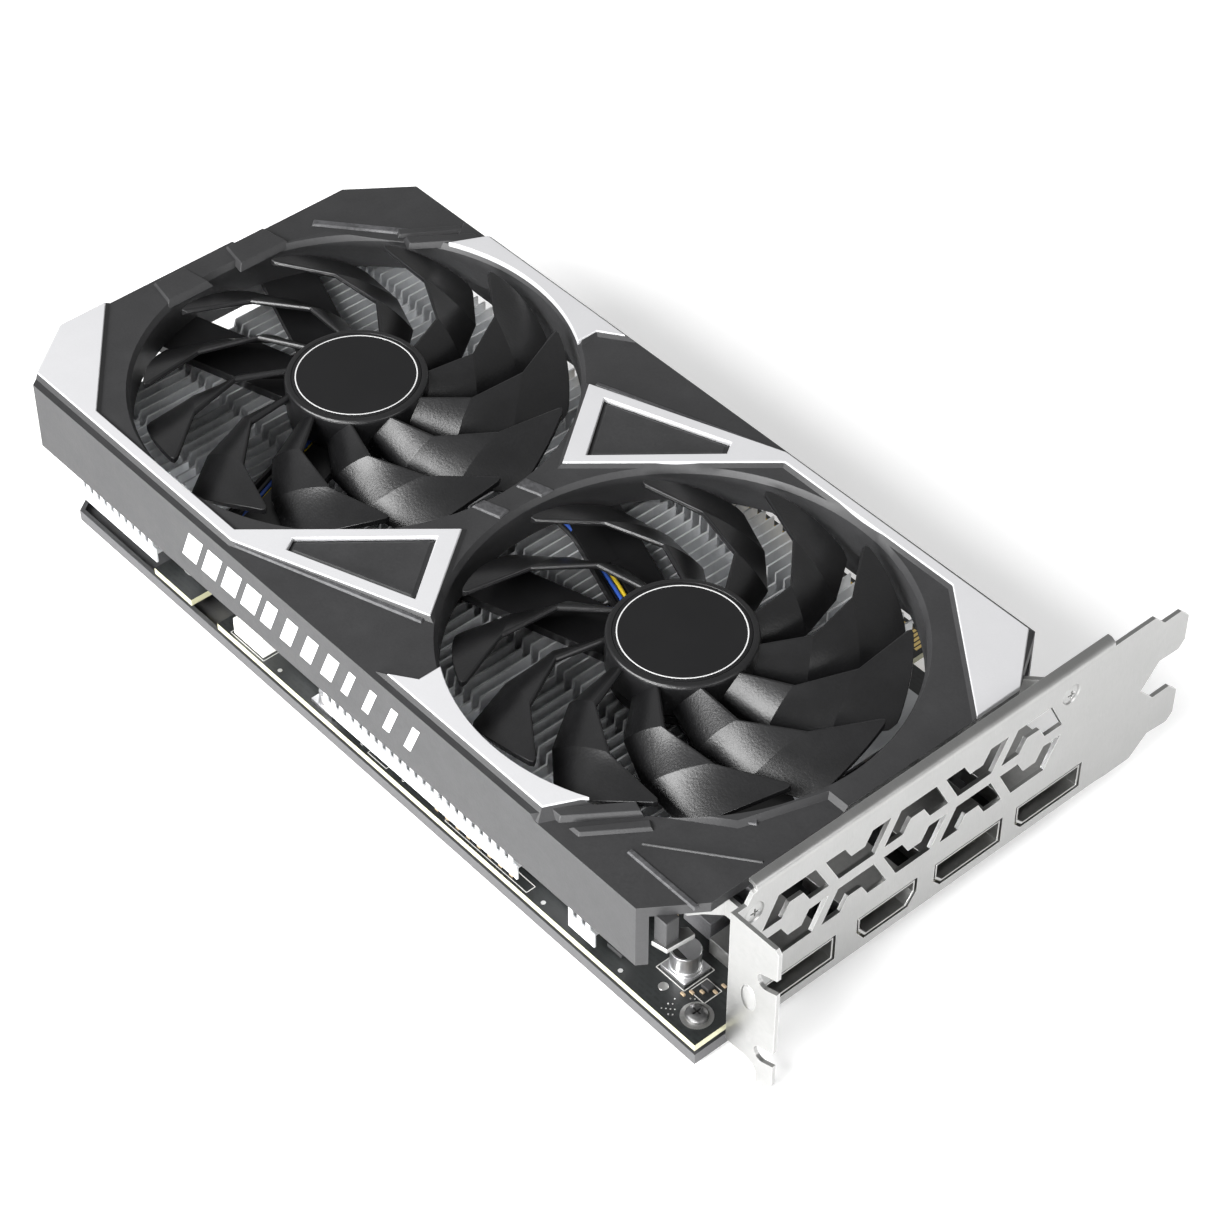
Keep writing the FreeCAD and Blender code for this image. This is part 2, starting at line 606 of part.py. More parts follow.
def build_leads():
    """Three leads from each motor, along its arm's groove and down to the header on the board."""
    level = size["wire_level"]
    for side, route in LEAD_ROUTES.items():
        leads = []
        turn = math.radians(WIRE_ARM[side])
        out = Vector(math.cos(turn), math.sin(turn), 0)
        left = Vector(-math.sin(turn), math.cos(turn), 0)
        for row in range(LEADS_IN_ROW):
            sideways = LEAD_SIDE[side] * (LEAD_FIRST + LEAD_PITCH * row)
            centre = Vector(FAN_X[side], FAN_Y, level) + left * sideways
            reach = LEAD_REACH[side] - LEAD_STEP[side] * row
            points = [tuple(centre + out * LEAD_START), tuple(centre + out * reach)]
            for spot, step in route:
                points.append(tuple(u + row * v for u, v in zip(spot, step)))
            leads.append(wire_solid(points, size["wire_radius"]))
        node(side + "_fan_leads", shaped(side.title() + "Leads", Part.makeCompound(leads)))


# ---------------------------------------------------------------- cooler
FIN_BLOCKS = ((-193.6, -168.0), (-110.7, -51.0), (-38.5, -31.0))
PIPE_ROWS = (20.0, 39.0, 58.0, 75.0)
LAST_FIN = -27.0


def reaches_edge(x):
    return any(low <= x <= high for low, high in FIN_BLOCKS)


def fin_plan(x, near, width_of_tab):
    """Plan of one fin: a folded foot at its near end, then straight runs with jogs between them."""
    thick, jog = size["fin_thick"], size["fin_jog"]
    right = [(x + thick, near + thick)]
    left = [(x, near)]
    shift = 0.0
    place_of_jog = size["fin_jog_first"]
    while place_of_jog < size["fin_far"] - jog:
        for side, offset in ((left, 0.0), (right, thick)):
            side.append((x + offset - shift, place_of_jog))
            side.append((x + offset - shift - jog, place_of_jog + jog))
        shift += jog
        place_of_jog += size["fin_jog_pitch"]
    left.append((x - shift, size["fin_far"]))
    right.append((x + thick - shift, size["fin_far"]))
    foot = [(x + width_of_tab, near), (x + width_of_tab, near + thick)]
    return left[::-1] + foot + right


def build_fins():
    bottom, top = size["fin_bottom"], size["fin_top"]
    bore = size["pipe_radius"] + 0.02
    pipes = [Part.makeCylinder(bore, 240, Vector(-225, y, size["pipe_level"]), Vector(1, 0, 0))
             for y in PIPE_ROWS]
    socket = Part.makeBox(19.4, 20.5, 13, Vector(-161.6, -5, 0))
    header_room = Part.makeBox(30, 4, 4, Vector(-150, -2.8, 3))
    room = slab(corners("fin_room"), 0, top + 1)
    stacks = {"rear": [], "middle": [], "front": []}
    count = int((size["fin_first"] + LAST_FIN) / size["fin_pitch"]) + 1
    for index in range(count):
        x = -size["fin_first"] + index * size["fin_pitch"]
        near = -size["fin_near"] if reaches_edge(x) else -size["fin_inner"]
        upper = slab(fin_plan(x, near, size["fin_tooth"]), bottom + size["fin_skirt"], top)
        lower = slab(fin_plan(x, near, size["fin_pitch"] - 0.05), bottom, bottom + size["fin_skirt"])
        fin = upper.fuse(lower).cut(pipes)
        if -162 < x < -142:
            fin = fin.cut(socket)
        if -146 < x < -131:
            fin = fin.cut(header_room)
        if x < -185:
            fin = fin.common(room)
        stack = "rear" if x < -145 else "middle" if x < -85 else "front"
        stacks[stack].append(fin)
    for stack, fins in stacks.items():
        node(stack + "_fin_stack", shaped(stack.title() + "Fins", Part.makeCompound(fins)))


def build_cooler_base():
    pipes = []
    for index, y in enumerate(PIPE_ROWS):
        pipe = cylinder(f"pipe_{index}", "-dim.fin_first - 8.4", y, "dim.pipe_level",
                        "dim.pipe_radius", "161")
        pipe.Placement = Placement(Vector(), Rotation(Vector(0, 1, 0), 90))
        place(pipe, "-dim.fin_first - 6.4", y, "dim.pipe_level")
        pipes.append(pipe)
    node("heat_pipes", group("Pipes", pipes))
    half = "dim.cold_plate_size / 2"
    plate = [("-140", "8"), ("-30", "8"), ("-30", "84"), ("-140", "84")]
    base = pad_body("BasePlate", plate, "dim.base_bottom", "dim.base_top - dim.base_bottom")
    left, right = f"-dim.gpu_x - {half}", f"-dim.gpu_x + {half}"
    near, far = f"dim.gpu_y - {half}", f"dim.gpu_y + {half}"
    window = [(left, near), (right, near), (right, far), (left, far)]
    pocket(base, "base_window", "dim.base_top", "dim.base_top - dim.base_bottom + 1", outlines=[window])
    node("cooler_base_plate", base)
    block = box("cold_block", f"-dim.gpu_x - {half}", f"dim.gpu_y - {half}", "dim.die_top",
                "dim.cold_plate_size",
                "dim.cold_plate_size", "dim.base_top - dim.die_top")
    holes = []
    for index, (x, y) in enumerate(GPU_SCREWS):
        holes.append(cylinder(f"cold_hole_{index}", x, y, "0", "1.0", "3.6"))
    node("cold_plate", cut("ColdPlate", block, group("ColdPlateHoles", holes)))


GPU_SCREWS = [(-92.0 + sx * 20.0, 46.0 + sy * 20.0) for sx in (-1, 1) for sy in (-1, 1)]


# ---------------------------------------------------------------- circuit board and what it carries
PCB_SCREWS = ((-6.8, -1.7), (-163.5, 0.6), (-163.5, 84.0), (-22.0, 87.0))


def build_pcb():
    near, far, right, rear = "-dim.pcb_near", "dim.pcb_far", "-dim.pcb_right", "-dim.pcb_rear"
    edge = "dim.finger_edge"
    points = [(rear, near), ("-156.3", near), ("-156.3", "0.5"), ("-147.2", "0.5"), ("-147.2", near),
              (right, near), (right, far), ("-dim.finger_start", far), ("-dim.finger_start", f"{edge} - 0.8"),
              ("-dim.finger_start - 0.8", edge), ("-dim.key_place", edge), ("-dim.key_place", far),
              ("-dim.key_place - dim.key_width", far), ("-dim.key_place - dim.key_width", edge),
              ("-dim.finger_end + 0.8", edge), ("-dim.finger_end", f"{edge} - 0.8"), ("-dim.finger_end", far),
              ("-139.5", far), ("-139.5", "97.0"), ("-143.5", "97.0"), ("-143.5", far), (rear, far)]
    board = pad_body("Board", points, "-dim.pcb_thick", "dim.pcb_thick")
    holes = [(str(x), str(y), "1.6") for x, y in PCB_SCREWS]
    holes += [(str(x), str(y), "1.3") for x, y in GPU_SCREWS]
    pocket(board, "board_holes", "0", "dim.pcb_thick + 1", circles=holes)
    node("circuit_board", board)


def build_fingers():
    contacts = []
    pitch = 1.0
    for face, level in (("top", "0"), ("under", "-dim.pcb_thick - 0.05")):
        for index in range(82):
            x = -size["finger_start"] - 1.6 - index * pitch
            if index > 10:
                x -= 2.6
            if x - 0.35 < -size["finger_end"] + 0.9:
                break
            contacts.append(box(f"contact_{face}_{index}", x - 0.35, "dim.finger_edge - 5.2", level,
                                "0.7", "4.2", "0.05"))
    node("edge_contacts", group("Contacts", contacts))


MEMORY_SPOTS = [(-92.0 + dx, 46.0 + dy) for dx, dy in
                ((-36, -13), (-36, 5), (36, -13), (36, 5), (-13, 31), (7, 31), (-13, -32), (7, -32))]


def build_chips():
    half = "dim.gpu_size / 2"
    package = box("package", f"-dim.gpu_x - {half}", f"dim.gpu_y - {half}", "0.15",
                  "dim.gpu_size", "dim.gpu_size",
                  "dim.gpu_height - 0.15")
    notched = []
    for index, (x, y) in enumerate(GPU_SCREWS):
        notched.append(cylinder(f"package_relief_{index}", x, y, "-1", "1.9", "4"))
    node("processor_package", cut("Package", package, group("PackageReliefs", notched)))
    side = "dim.die_size / 2"
    node("processor_die", group("Die", [box("die", f"-dim.gpu_x - {side}", f"dim.gpu_y - {side}",
                                            "dim.gpu_height",
                                            "dim.die_size", "dim.die_size", "dim.die_top - dim.gpu_height")]))
    chips = []
    pads = []
    for index, (x, y) in enumerate(MEMORY_SPOTS):
        chips.append(box(f"memory_{index}", x - 6, y - 7, "0.1", "12", "14", "1.0"))
        pads.append(box(f"pad_{index}", x - 5.5, y - 6.5, "1.1", "11", "13", "dim.base_bottom - 1.1"))
    node("memory_chips", group("Memory", chips))
    node("thermal_pads", group("Pads", pads))
    chokes = []
    switches = []
    for index in range(6):
        y = 12.0 + index * 11.5
        chokes.append(box(f"choke_{index}", "-25.6", y, "0.1", "7.4", "7.4", "4.8"))
        switches.append(box(f"switch_{index}", "-25.2", y + 7.9, "0.05", "5.0", "3.2", "0.9"))
    node("power_chokes", group("Chokes", chokes))
    node("power_switches", group("Switches", switches))
    support = []
    for index, (x, y, wide, deep) in enumerate(((-150, 62, 8, 8), (-158, 40, 5, 5), (-30, -3.2, 4, 4),
                                                (-140, 86, 6, 4), (-60, -2.5, 5, 3), (-11.3, 3.4, 2.0, 1.6))):
        support.append(box(f"support_chip_{index}", x, y, "0.05", wide, deep, "0.9"))
    node("support_chips", group("Support", support))


def build_capacitors():
    cans = []
    for index, (x, y) in enumerate(((-16.4, 4.2), (-113.6, -2.4), (-164.0, 15.0), (-164.0, 24.0))):
        base = box(f"can_base_{index}", x - 3.3, y - 3.3, "0.05", "6.6", "6.6", "0.9")
        low = cylinder(f"can_low_{index}", x, y, "0.9", "3.15", "0.9") if index < 1 else \
            cylinder(f"can_low_{index}", x, y, "0.9", "3.15", "0.3")
        top = cylinder(f"can_top_{index}", x, y, "1.1", "3.0", "4.7") if index < 1 else \
            cylinder(f"can_top_{index}", x, y, "1.1", "3.0", "2.6")
        cans.append(fuse(f"can_{index}", base, low, top))
    node("can_capacitors", group("Cans", cans))
    small = []
    for row in range(9):
        for column in range(2):
            x, y = -28.8 + 1.6 * column, 10.0 + row * 8.0
            small.append(box(f"chip_cap_{row}_{column}", x, y, "0.02", "0.8", "1.6", "0.8"))
    for index in range(8):
        small.append(box(f"edge_cap_{index}", -78.0 + index * 3.2, -5.6, "0.02", "1.0", "0.5", "0.5"))
    for index, (x, y) in enumerate(((-9.0, 6.4), (-9.0, 4.2), (-10.6, 2.4), (-11.8, 0.9), (-12.6, -0.6))):
        small.append(box(f"corner_cap_{index}", x, y, "0.02", "1.0", "0.5", "0.45"))
    node("chip_capacitors", group("ChipCapacitors", small))


def build_connectors():
    housing = box("power_housing", "-158.6", "1.0", "0.05", "13.4", "12.4", "10.4")
    sockets = []
    for column in range(3):
        for row in range(2):
            name = f"power_socket_{column}_{row}"
            sockets.append(box(name, -157.9 + column * 4.1, "0", 0.85 + row * 4.5, "3.7", "11.0", "4.0"))
    latch = box("power_latch", "-153.7", "1.6", "10.45", "3.6", "6.0", "0.9")
    drilled = cut("power_body", housing, group("power_sockets", sockets))
    node("power_connector", fuse("PowerConnector", drilled, latch))
    pins = []
    for column in range(3):
        for row in range(2):
            pins.append(box(f"power_pin_{column}_{row}", -156.6 + column * 4.1, "3.0", 2.3 + row * 4.5,
                            "1.1", "7.98", "1.1"))
    node("power_pins", group("PowerPins", pins))
    shell = box("header_shell", "-142.7", "-5.7", "0.05", "9.8", "6.4", "4.2")
    room = box("header_room", "-142.0", "-5.0", "0.8", "8.4", "5.2", "5")
    node("fan_header", cut("FanHeader", shell, room))
    plug = box("plug_body", "-141.8", "-4.8", "0.85", "8.0", "4.8", "4.6")
    holes = []
    for side, first in (("front", -134.6), ("rear", -139.0)):
        for index in range(3):
            holes.append(cylinder(f"plug_hole_{side}_{index}", first - 1.3 * index, "-3.2", "4.0",
                                  "0.55", "3"))
    node("fan_plug", cut("FanPlug", plug, group("PlugHoles", holes)))


def build_pcb_screws():
    screws = []
    for index, (x, y) in enumerate(PCB_SCREWS):
        screws.append(pan_screw(f"board_screw_{index}", x, y, "0.1", "2.3", "1.3", "1.25", "4.2"))
    node("board_screws", group("BoardScrews", screws))
    rings = []
    for index, (x, y) in enumerate(PCB_SCREWS):
        rings.append(tube(f"ring_{index}", x, y, "0", "3.2", "1.7", "0.06"))
    node("ground_rings", group("GroundRings", rings))


# ---------------------------------------------------------------- back plate side
VENT_SLOTS, VENT_PITCH, VENT_WIDTH, VENT_LEAN = 7, 3.9, 2.2, 6.0
VENT_FIRST, VENT_NEAR, VENT_FAR = -192.0, 12.0, 80.0


def build_backplate():
    near, far = "-dim.backplate_near", "dim.backplate_far"
    rear, right = "-dim.backplate_rear", "-dim.backplate_right"
    points = [(rear, "2.0"), ("-dim.backplate_rear + 6", near), (right, near), (right, far), (rear, far)]
    low = "-dim.backplate_bottom"
    tray = pad_body("BackPlate", points, low, "dim.backplate_rim")
    wall = "1.0"
    inner = [("-dim.backplate_rear + 1.0", "2.4"), ("-dim.backplate_rear + 6.5", f"{near} + {wall}"),
             (f"{right} - {wall}", f"{near} + {wall}"), (f"{right} - {wall}", f"{far} - {wall}"),
             ("-dim.backplate_rear + 1.0", f"{far} - {wall}")]
    depth = "dim.backplate_rim - dim.backplate_thick"
    pocket(tray, "tray_room", f"{low} + dim.backplate_rim", depth, outlines=[inner])
    slots = []
    for index in range(VENT_SLOTS):
        x = VENT_FIRST + index * VENT_PITCH
        near_end = [(x, VENT_NEAR), (x + VENT_WIDTH, VENT_NEAR)]
        far_end = [(x + VENT_WIDTH - VENT_LEAN, VENT_FAR), (x - VENT_LEAN, VENT_FAR)]
        slots.append(near_end + far_end)
    pocket(tray, "tray_vents", low + " + dim.backplate_thick", "dim.backplate_thick + 1", outlines=slots)
    bosses = []
    for index, (x, y) in enumerate(PCB_SCREWS):
        bosses.append(cylinder(f"tray_boss_{index}", x, y, "-dim.backplate_bottom", "2.8",
                               "dim.backplate_bottom - dim.pcb_thick - 0.02"))
    whole = fuse("tray_with_bosses", tray, *bosses)
    holes = []
    for index, (x, y) in enumerate(PCB_SCREWS):
        holes.append(cylinder(f"tray_hole_{index}", x, y, "-dim.backplate_bottom + 1.2", "1.25", "9"))
    for index, (x, y) in enumerate(GPU_SCREWS):
        holes.append(cylinder(f"tray_access_{index}", x, y, "-dim.backplate_bottom - 1", "3.2", "4"))
    node("backplate", cut("Backplate", whole, group("TrayHoles", holes)))


def build_spring_bracket():
    low = -size["pcb_thick"] - 1.4
    bars = []
    for angle in (45, 135):
        bar = Part.makeBox(66, 7.0, 1.0, Vector(-33, -3.5, low))
        bar.rotate(Vector(), Vector(0, 0, 1), angle)
        bars.append(bar)
    cross = bars[0].fuse(bars[1])
    ring = Part.makeCylinder(12, 1.0, Vector(0, 0, low)).cut(Part.makeCylinder(7, 3, Vector(0, 0, low - 1)))
    cross = cross.fuse(ring).cut(Part.makeCylinder(7, 3, Vector(0, 0, low - 1)))
    cross.translate(Vector(-size["gpu_x"], size["gpu_y"], 0))
    for x, y in GPU_SCREWS:
        cross = cross.cut(Part.makeCylinder(1.1, 9, Vector(x, y, low - 2)))
    node("spring_bracket", shaped("SpringBracket", cross.removeSplitter()))
    screws = []
    washers = []
    for index, (x, y) in enumerate(GPU_SCREWS):
        screws.append(pan_screw(f"cooler_screw_{index}", x, y, low - 0.64,
                                "1.9", "0.8", "0.95", "7.0", up=False))
        washers.append(tube(f"cooler_washer_{index}", x, y, low - 0.62, "2.0", "1.0", "0.6"))
    node("cooler_screws", group("CoolerScrews", screws))
    node("cooler_washers", group("CoolerWashers", washers))


# ---------------------------------------------------------------- slot bracket and ports
def vent_points(column, upper):
    """One trapezoid air vent with a half-hexagon key standing in its long or short side."""
    centre = f"dim.vent_first + {column} * dim.vent_pitch"
    low = "dim.vent_upper" if upper else "dim.vent_lower"
    wide_below = (column % 2 == 0) == upper
    bottom, top = ("dim.vent_long", "dim.vent_short") if wide_below else ("dim.vent_short", "dim.vent_long")
    high = f"{low} + dim.vent_height"
    body = [(f"{centre} - {bottom}", low), (f"{centre} + {bottom}", low), (f"{centre} + {top}", high),
            (f"{centre} - {top}", high)]
    if wide_below:
        key = [(f"{centre} - dim.key_base", low), (f"{centre} - dim.key_top", f"{low} + dim.key_height"),
               (f"{centre} + dim.key_top", f"{low} + dim.key_height"), (f"{centre} + dim.key_base", low)]
        return body[:1] + key + body[1:]
    key = [(f"{centre} + dim.key_base", high), (f"{centre} + dim.key_top", f"{high} - dim.key_height"),
           (f"{centre} - dim.key_top", f"{high} - dim.key_height"), (f"{centre} - dim.key_base", high)]
    return body[:3] + key + body[3:]


def port_outline(centre, width, narrow):
    low, high = "dim.port_bottom", "dim.port_bottom + dim.port_height"
    left, right = f"{centre} - {width} / 2", f"{centre} + {width} / 2"
    if narrow:
        return [(f"{left} + 2.1", low), (f"{right} - 2.1", low), (right, f"{low} + 3.0"), (right, high),
                (left, high), (left, f"{low} + 3.0")]
    return [(f"{left} + 1.9", low), (right, low), (right, high), (left, high), (left, f"{low} + 2.2")]


WIDE_PORTS = ("dim.wide_port_one", "dim.wide_port_two", "dim.wide_port_three")


def build_bracket():
    edge = corner_texts("tongue_edge")
    plate_outline = [("0", "-dim.bracket_bottom"), ("98.0", "-dim.bracket_bottom")] + edge
    plate_outline += [("4.6", "dim.plate_top"), ("3.2", "dim.flange_top"), ("0", "dim.flange_top")]
    plate = prism("bracket_plate", "YZ", plate_outline, "-dim.bracket_sheet", "dim.bracket_sheet")
    flange_outline = [("-dim.bracket_sheet", "-dim.bracket_bottom"), ("4.6", "-dim.bracket_bottom"),
                      ("6.4", "-3.0"), ("dim.tab_inner", "-4.4"), ("dim.tab_inner", "-dim.tab_depth"),
                      ("10.0", "-dim.tab_depth"), ("dim.flange_depth", "-4.6"), ("dim.flange_depth", "31.8"),
                      ("10.6", "dim.flange_top"), ("-dim.bracket_sheet", "dim.flange_top")]
    flange = prism("bracket_flange", "XZ", flange_outline, "dim.bracket_sheet", "dim.bracket_sheet")
    lip_run = "dim.lip_end - dim.lip_start"
    lip_rod = cylinder("lip_rod", "0", "0", "0", "dim.lip_radius", lip_run)
    lip_bore = cylinder("lip_bore", "0", "0", "0", "dim.lip_radius - dim.bracket_sheet", lip_run)
    for rod in (lip_rod, lip_bore):
        rod.Placement = Placement(Vector(), Rotation(Vector(1, 0, 0), -90))
        place(rod, "-dim.lip_radius", "dim.lip_start", "dim.plate_top")
    ring = cut("lip_ring", lip_rod, lip_bore)
    keep = box("lip_keep", "-dim.lip_radius", "dim.lip_start", "dim.plate_top", "dim.lip_radius",
               "dim.lip_end - dim.lip_start", "dim.lip_radius")
    bend = doc.addObject("Part::Common", "lip_bend")
    bend.Base = ring
    bend.Tool = keep
    shelf = box("lip_shelf", "-dim.lip_radius - dim.lip_width", "dim.lip_start",
                "dim.plate_top + dim.lip_radius - dim.bracket_sheet",
                "dim.lip_width", "dim.lip_end - dim.lip_start", "dim.bracket_sheet")
    sheet_metal = fuse("bracket_blank", plate, flange, bend, shelf)
    openings = []
    through = "dim.bracket_sheet + 2"
    for column in range(5):
        for upper in (False, True):
            name = f"vent_{column}_{'upper' if upper else 'lower'}"
            openings.append(prism(name, "YZ", vent_points(column, upper), "-dim.bracket_sheet - 1", through))
    for index, centre in enumerate(WIDE_PORTS):
        openings.append(prism(f"wide_port_{index}", "YZ", port_outline(centre, "dim.wide_port_width", False),
                              "-dim.bracket_sheet - 1", through))
    narrow = port_outline("dim.narrow_port_place", "dim.narrow_port_width", True)
    openings.append(prism("narrow_port", "YZ", narrow, "-dim.bracket_sheet - 1", through))
    for index in range(2):
        notch = box(f"notch_{index}", "0", "0", "0", "6", "4", "dim.notch_width")
        notch.Placement = Placement(Vector(), Rotation(Vector(0, 1, 0), -size["notch_slope"]))
        level = f"dim.notch_height + 0.6 - dim.notch_width / 2 + {index} * dim.slot_pitch"
        place(notch, "dim.notch_inner", "-1", level)
        end = cylinder(f"notch_end_{index}", "0", "0", "0", "dim.notch_width / 2", "4")
        end.Placement = Placement(Vector(), Rotation(Vector(1, 0, 0), -90))
        turn = math.radians(size["notch_slope"])
        shift_x, shift_z = -math.sin(turn), math.cos(turn)
        place(end, f"dim.notch_inner + {shift_x} * dim.notch_width / 2", "-1",
              f"{level} + {shift_z} * dim.notch_width / 2")
        openings.extend([notch, end])
    for index, y in enumerate(("dim.bracket_screw_near", "dim.bracket_screw_far")):
        sink = cone(f"sink_{index}", "0", "0", "0", "dim.bracket_screw_head",
                    "dim.bracket_screw_shank", "dim.bracket_sheet")
        hole = cylinder(f"sink_hole_{index}", "0", "0", "0", "dim.bracket_screw_shank", "3")
        for tool in (sink, hole):
            tool.Placement = Placement(Vector(), Rotation(Vector(0, 1, 0), -90))
            place(tool, "0", y, "dim.bracket_screw_level")
        openings.extend([sink, hole])
    dimple = doc.addObject("Part::Ellipsoid", "dimple")
    bind(dimple, Radius1="0.7", Radius2="1.9", Radius3="3.3")
    dimple.Angle1 = -90
    dimple.Angle2 = 90
    dimple.Angle3 = 360
    dimple.Placement = Placement(Vector(), Rotation(Vector(1, 0, 0), 90))
    place(dimple, "4.5", "0.1", "14.3")
    pressed = fuse("bracket_pressed", sheet_metal, dimple)
    node("slot_bracket", cut("SlotBracket", pressed, group("BracketOpenings", openings)))
    screws = []
    for index, y in enumerate(("dim.bracket_screw_near", "dim.bracket_screw_far")):
        head = cone(f"bracket_head_{index}", "0", "0", "0", "dim.bracket_screw_head",
                    "dim.bracket_screw_shank", "dim.bracket_sheet")
        shank = cylinder(f"bracket_shank_{index}", "0", "0", "0", "dim.bracket_screw_shank", "3.6")
        slot_one = box(f"bracket_recess_{index}", "0", "0", "0", "1.0", "2.6", "0.6")
        slot_two = box(f"bracket_recess_b{index}", "0", "0", "0", "1.0", "0.6", "2.6")
        for tool in (head, shank):
            tool.Placement = Placement(Vector(), Rotation(Vector(0, 1, 0), -90))
            place(tool, "0", y, "dim.bracket_screw_level")
        place(slot_one, "-0.6", f"{y} - 1.3", "dim.bracket_screw_level - 0.3")
        place(slot_two, "-0.6", f"{y} - 0.3", "dim.bracket_screw_level - 1.3")
        blank = fuse(f"bracket_screw_blank_{index}", head, shank)
        cross = group(f"bracket_cross_{index}", [slot_one, slot_two])
        screws.append(cut(f"bracket_screw_{index}", blank, cross))
    node("bracket_screws", group("BracketScrews", screws))


def shrunk(centre, width, margin, narrow):
    """The port outline drawn in by a margin on every side."""
    low, high = f"dim.port_bottom + {margin}", f"dim.port_bottom + dim.port_height - {margin}"
    left, right = f"{centre} - {width} / 2 + {margin}", f"{centre} + {width} / 2 - {margin}"
    if narrow:
        return [(f"{left} + 1.9", low), (f"{right} - 1.9", low), (right, f"{low} + 2.6"), (right, high),
                (left, high), (left, f"{low} + 2.6")]
    return [(f"{left} + 1.7", low), (right, low), (right, high), (left, high), (left, f"{low} + 1.9")]


def port_shell(name, centre, width, narrow):
    gap, wall = "dim.port_shell_gap", "dim.port_shell_wall"
    outer = shrunk(centre, width, gap, narrow)
    inner = shrunk(centre, width, f"({gap} + {wall})", narrow)
    outside = prism(name + "_outside", "YZ", outer, "-dim.port_depth - 0.1", "dim.port_depth")
    inside = prism(name + "_inside", "YZ", inner, "-dim.port_depth + 0.9", "dim.port_depth")
    return cut(name, outside, inside)


def build_ports():
    shells = []
    tongues = []
    for index, centre in enumerate(WIDE_PORTS):
        shells.append(port_shell(f"wide_shell_{index}", centre, "dim.wide_port_width", False))
        tongues.append(box(f"wide_tongue_{index}", "-dim.port_depth + 0.9", f"{centre} - 6.2",
                           "dim.port_bottom + 2.7", "dim.port_depth - 3.4", "12.6", "dim.tongue_thick"))
    node("wide_port_shells", group("WideShells", shells))
    node("wide_port_tongues", group("WideTongues", tongues))
    centre = "dim.narrow_port_place"
    narrow = port_shell("narrow_shell", centre, "dim.narrow_port_width", True)
    node("narrow_port_shell", group("NarrowShell", [narrow]))
    tongue = box("narrow_tongue", "-dim.port_depth + 0.9", f"{centre} - 5.2", "dim.port_bottom + 3.3",
                 "dim.port_depth - 3.2", "10.4", "dim.tongue_thick")
    node("narrow_port_tongue", group("NarrowTongue", [tongue]))


def build_bracket_tabs():
    """Bent strips behind the bracket's two screws: each runs back from its flange to the cooler's end."""
    tabs = []
    apart = "dim.bracket_screw_far - dim.bracket_screw_near"
    for side, y in (("near", "dim.bracket_screw_near"), ("far", "dim.bracket_screw_far")):
        points = corner_texts("strip")
        if side == "far":
            points = [(u, f"{v} + {apart}") for u, v in points]
        strip = prism(side + "_strip", "XY", points, "26.0", "5.0")
        hole = cylinder(side + "_strip_hole", "0", "0", "0", "dim.bracket_screw_shank", "4")
        hole.Placement = Placement(Vector(), Rotation(Vector(0, 1, 0), -90))
        place(hole, "0", y, "dim.bracket_screw_level")
        tabs.append(cut(side + "_tab", strip, hole))
    node("bracket_tabs", group("BracketTabs", tabs))


# ---------------------------------------------------------------- the whole card
build_shroud()
build_trims()
for fan in FAN_X:
    build_impeller(fan)
    build_rotor_parts(fan)
    build_fan_frame(fan)
build_fan_inner()
build_fan_screws()
build_leads()
build_fins()
build_cooler_base()
build_pcb()
build_fingers()
build_chips()
build_capacitors()
build_connectors()
build_pcb_screws()
build_backplate()
build_spring_bracket()
build_bracket()
build_ports()
build_bracket_tabs()
doc.recompute()

faults = [item.Name for item in doc.Objects if "Invalid" in item.State or "Error" in item.State]
for label, item in NODES.items():
    if item.Shape.isNull() or not item.Shape.isValid() or not item.Shape.Solids:
        faults.append(label)
if faults:
    raise RuntimeError("not written: " + ", ".join(faults))
os.makedirs("parts", exist_ok=True)
for label, item in NODES.items():
    item.Shape.exportStep(f"parts/{label}.step")
    print("%-24s %3d solids  volume %9.1f" % (label, len(item.Shape.Solids), item.Shape.Volume))
print(len(NODES), "nodes")
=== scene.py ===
"""Looks of a dual-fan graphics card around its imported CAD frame.

Card coordinates, in millimetres, are used for places: X = 0 is the bracket plate's outer face and the
card runs towards -X, Y = 0 is the bracket flange's outer face, Z = 0 is the board's component side.
"""
import json
import math
import bmesh
import bpy
from mathutils import Matrix, Vector


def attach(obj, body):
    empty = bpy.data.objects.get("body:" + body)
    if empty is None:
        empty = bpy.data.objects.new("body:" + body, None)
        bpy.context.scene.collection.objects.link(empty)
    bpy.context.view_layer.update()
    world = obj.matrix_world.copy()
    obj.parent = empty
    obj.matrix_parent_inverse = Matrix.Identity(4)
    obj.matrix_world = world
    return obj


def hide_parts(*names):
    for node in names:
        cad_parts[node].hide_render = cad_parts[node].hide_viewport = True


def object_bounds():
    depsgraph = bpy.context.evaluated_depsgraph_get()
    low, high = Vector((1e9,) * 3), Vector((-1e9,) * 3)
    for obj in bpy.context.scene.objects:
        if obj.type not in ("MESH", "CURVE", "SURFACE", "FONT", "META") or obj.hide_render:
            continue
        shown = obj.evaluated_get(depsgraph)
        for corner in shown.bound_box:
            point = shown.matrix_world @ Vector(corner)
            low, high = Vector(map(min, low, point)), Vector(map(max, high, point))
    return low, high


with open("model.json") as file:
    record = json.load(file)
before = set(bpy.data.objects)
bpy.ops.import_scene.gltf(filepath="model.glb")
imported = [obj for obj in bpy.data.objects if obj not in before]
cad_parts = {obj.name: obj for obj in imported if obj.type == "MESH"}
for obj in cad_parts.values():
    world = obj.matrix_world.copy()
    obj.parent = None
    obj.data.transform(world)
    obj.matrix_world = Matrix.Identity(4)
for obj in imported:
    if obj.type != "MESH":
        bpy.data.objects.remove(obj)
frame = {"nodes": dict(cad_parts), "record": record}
cad_low, cad_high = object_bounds()

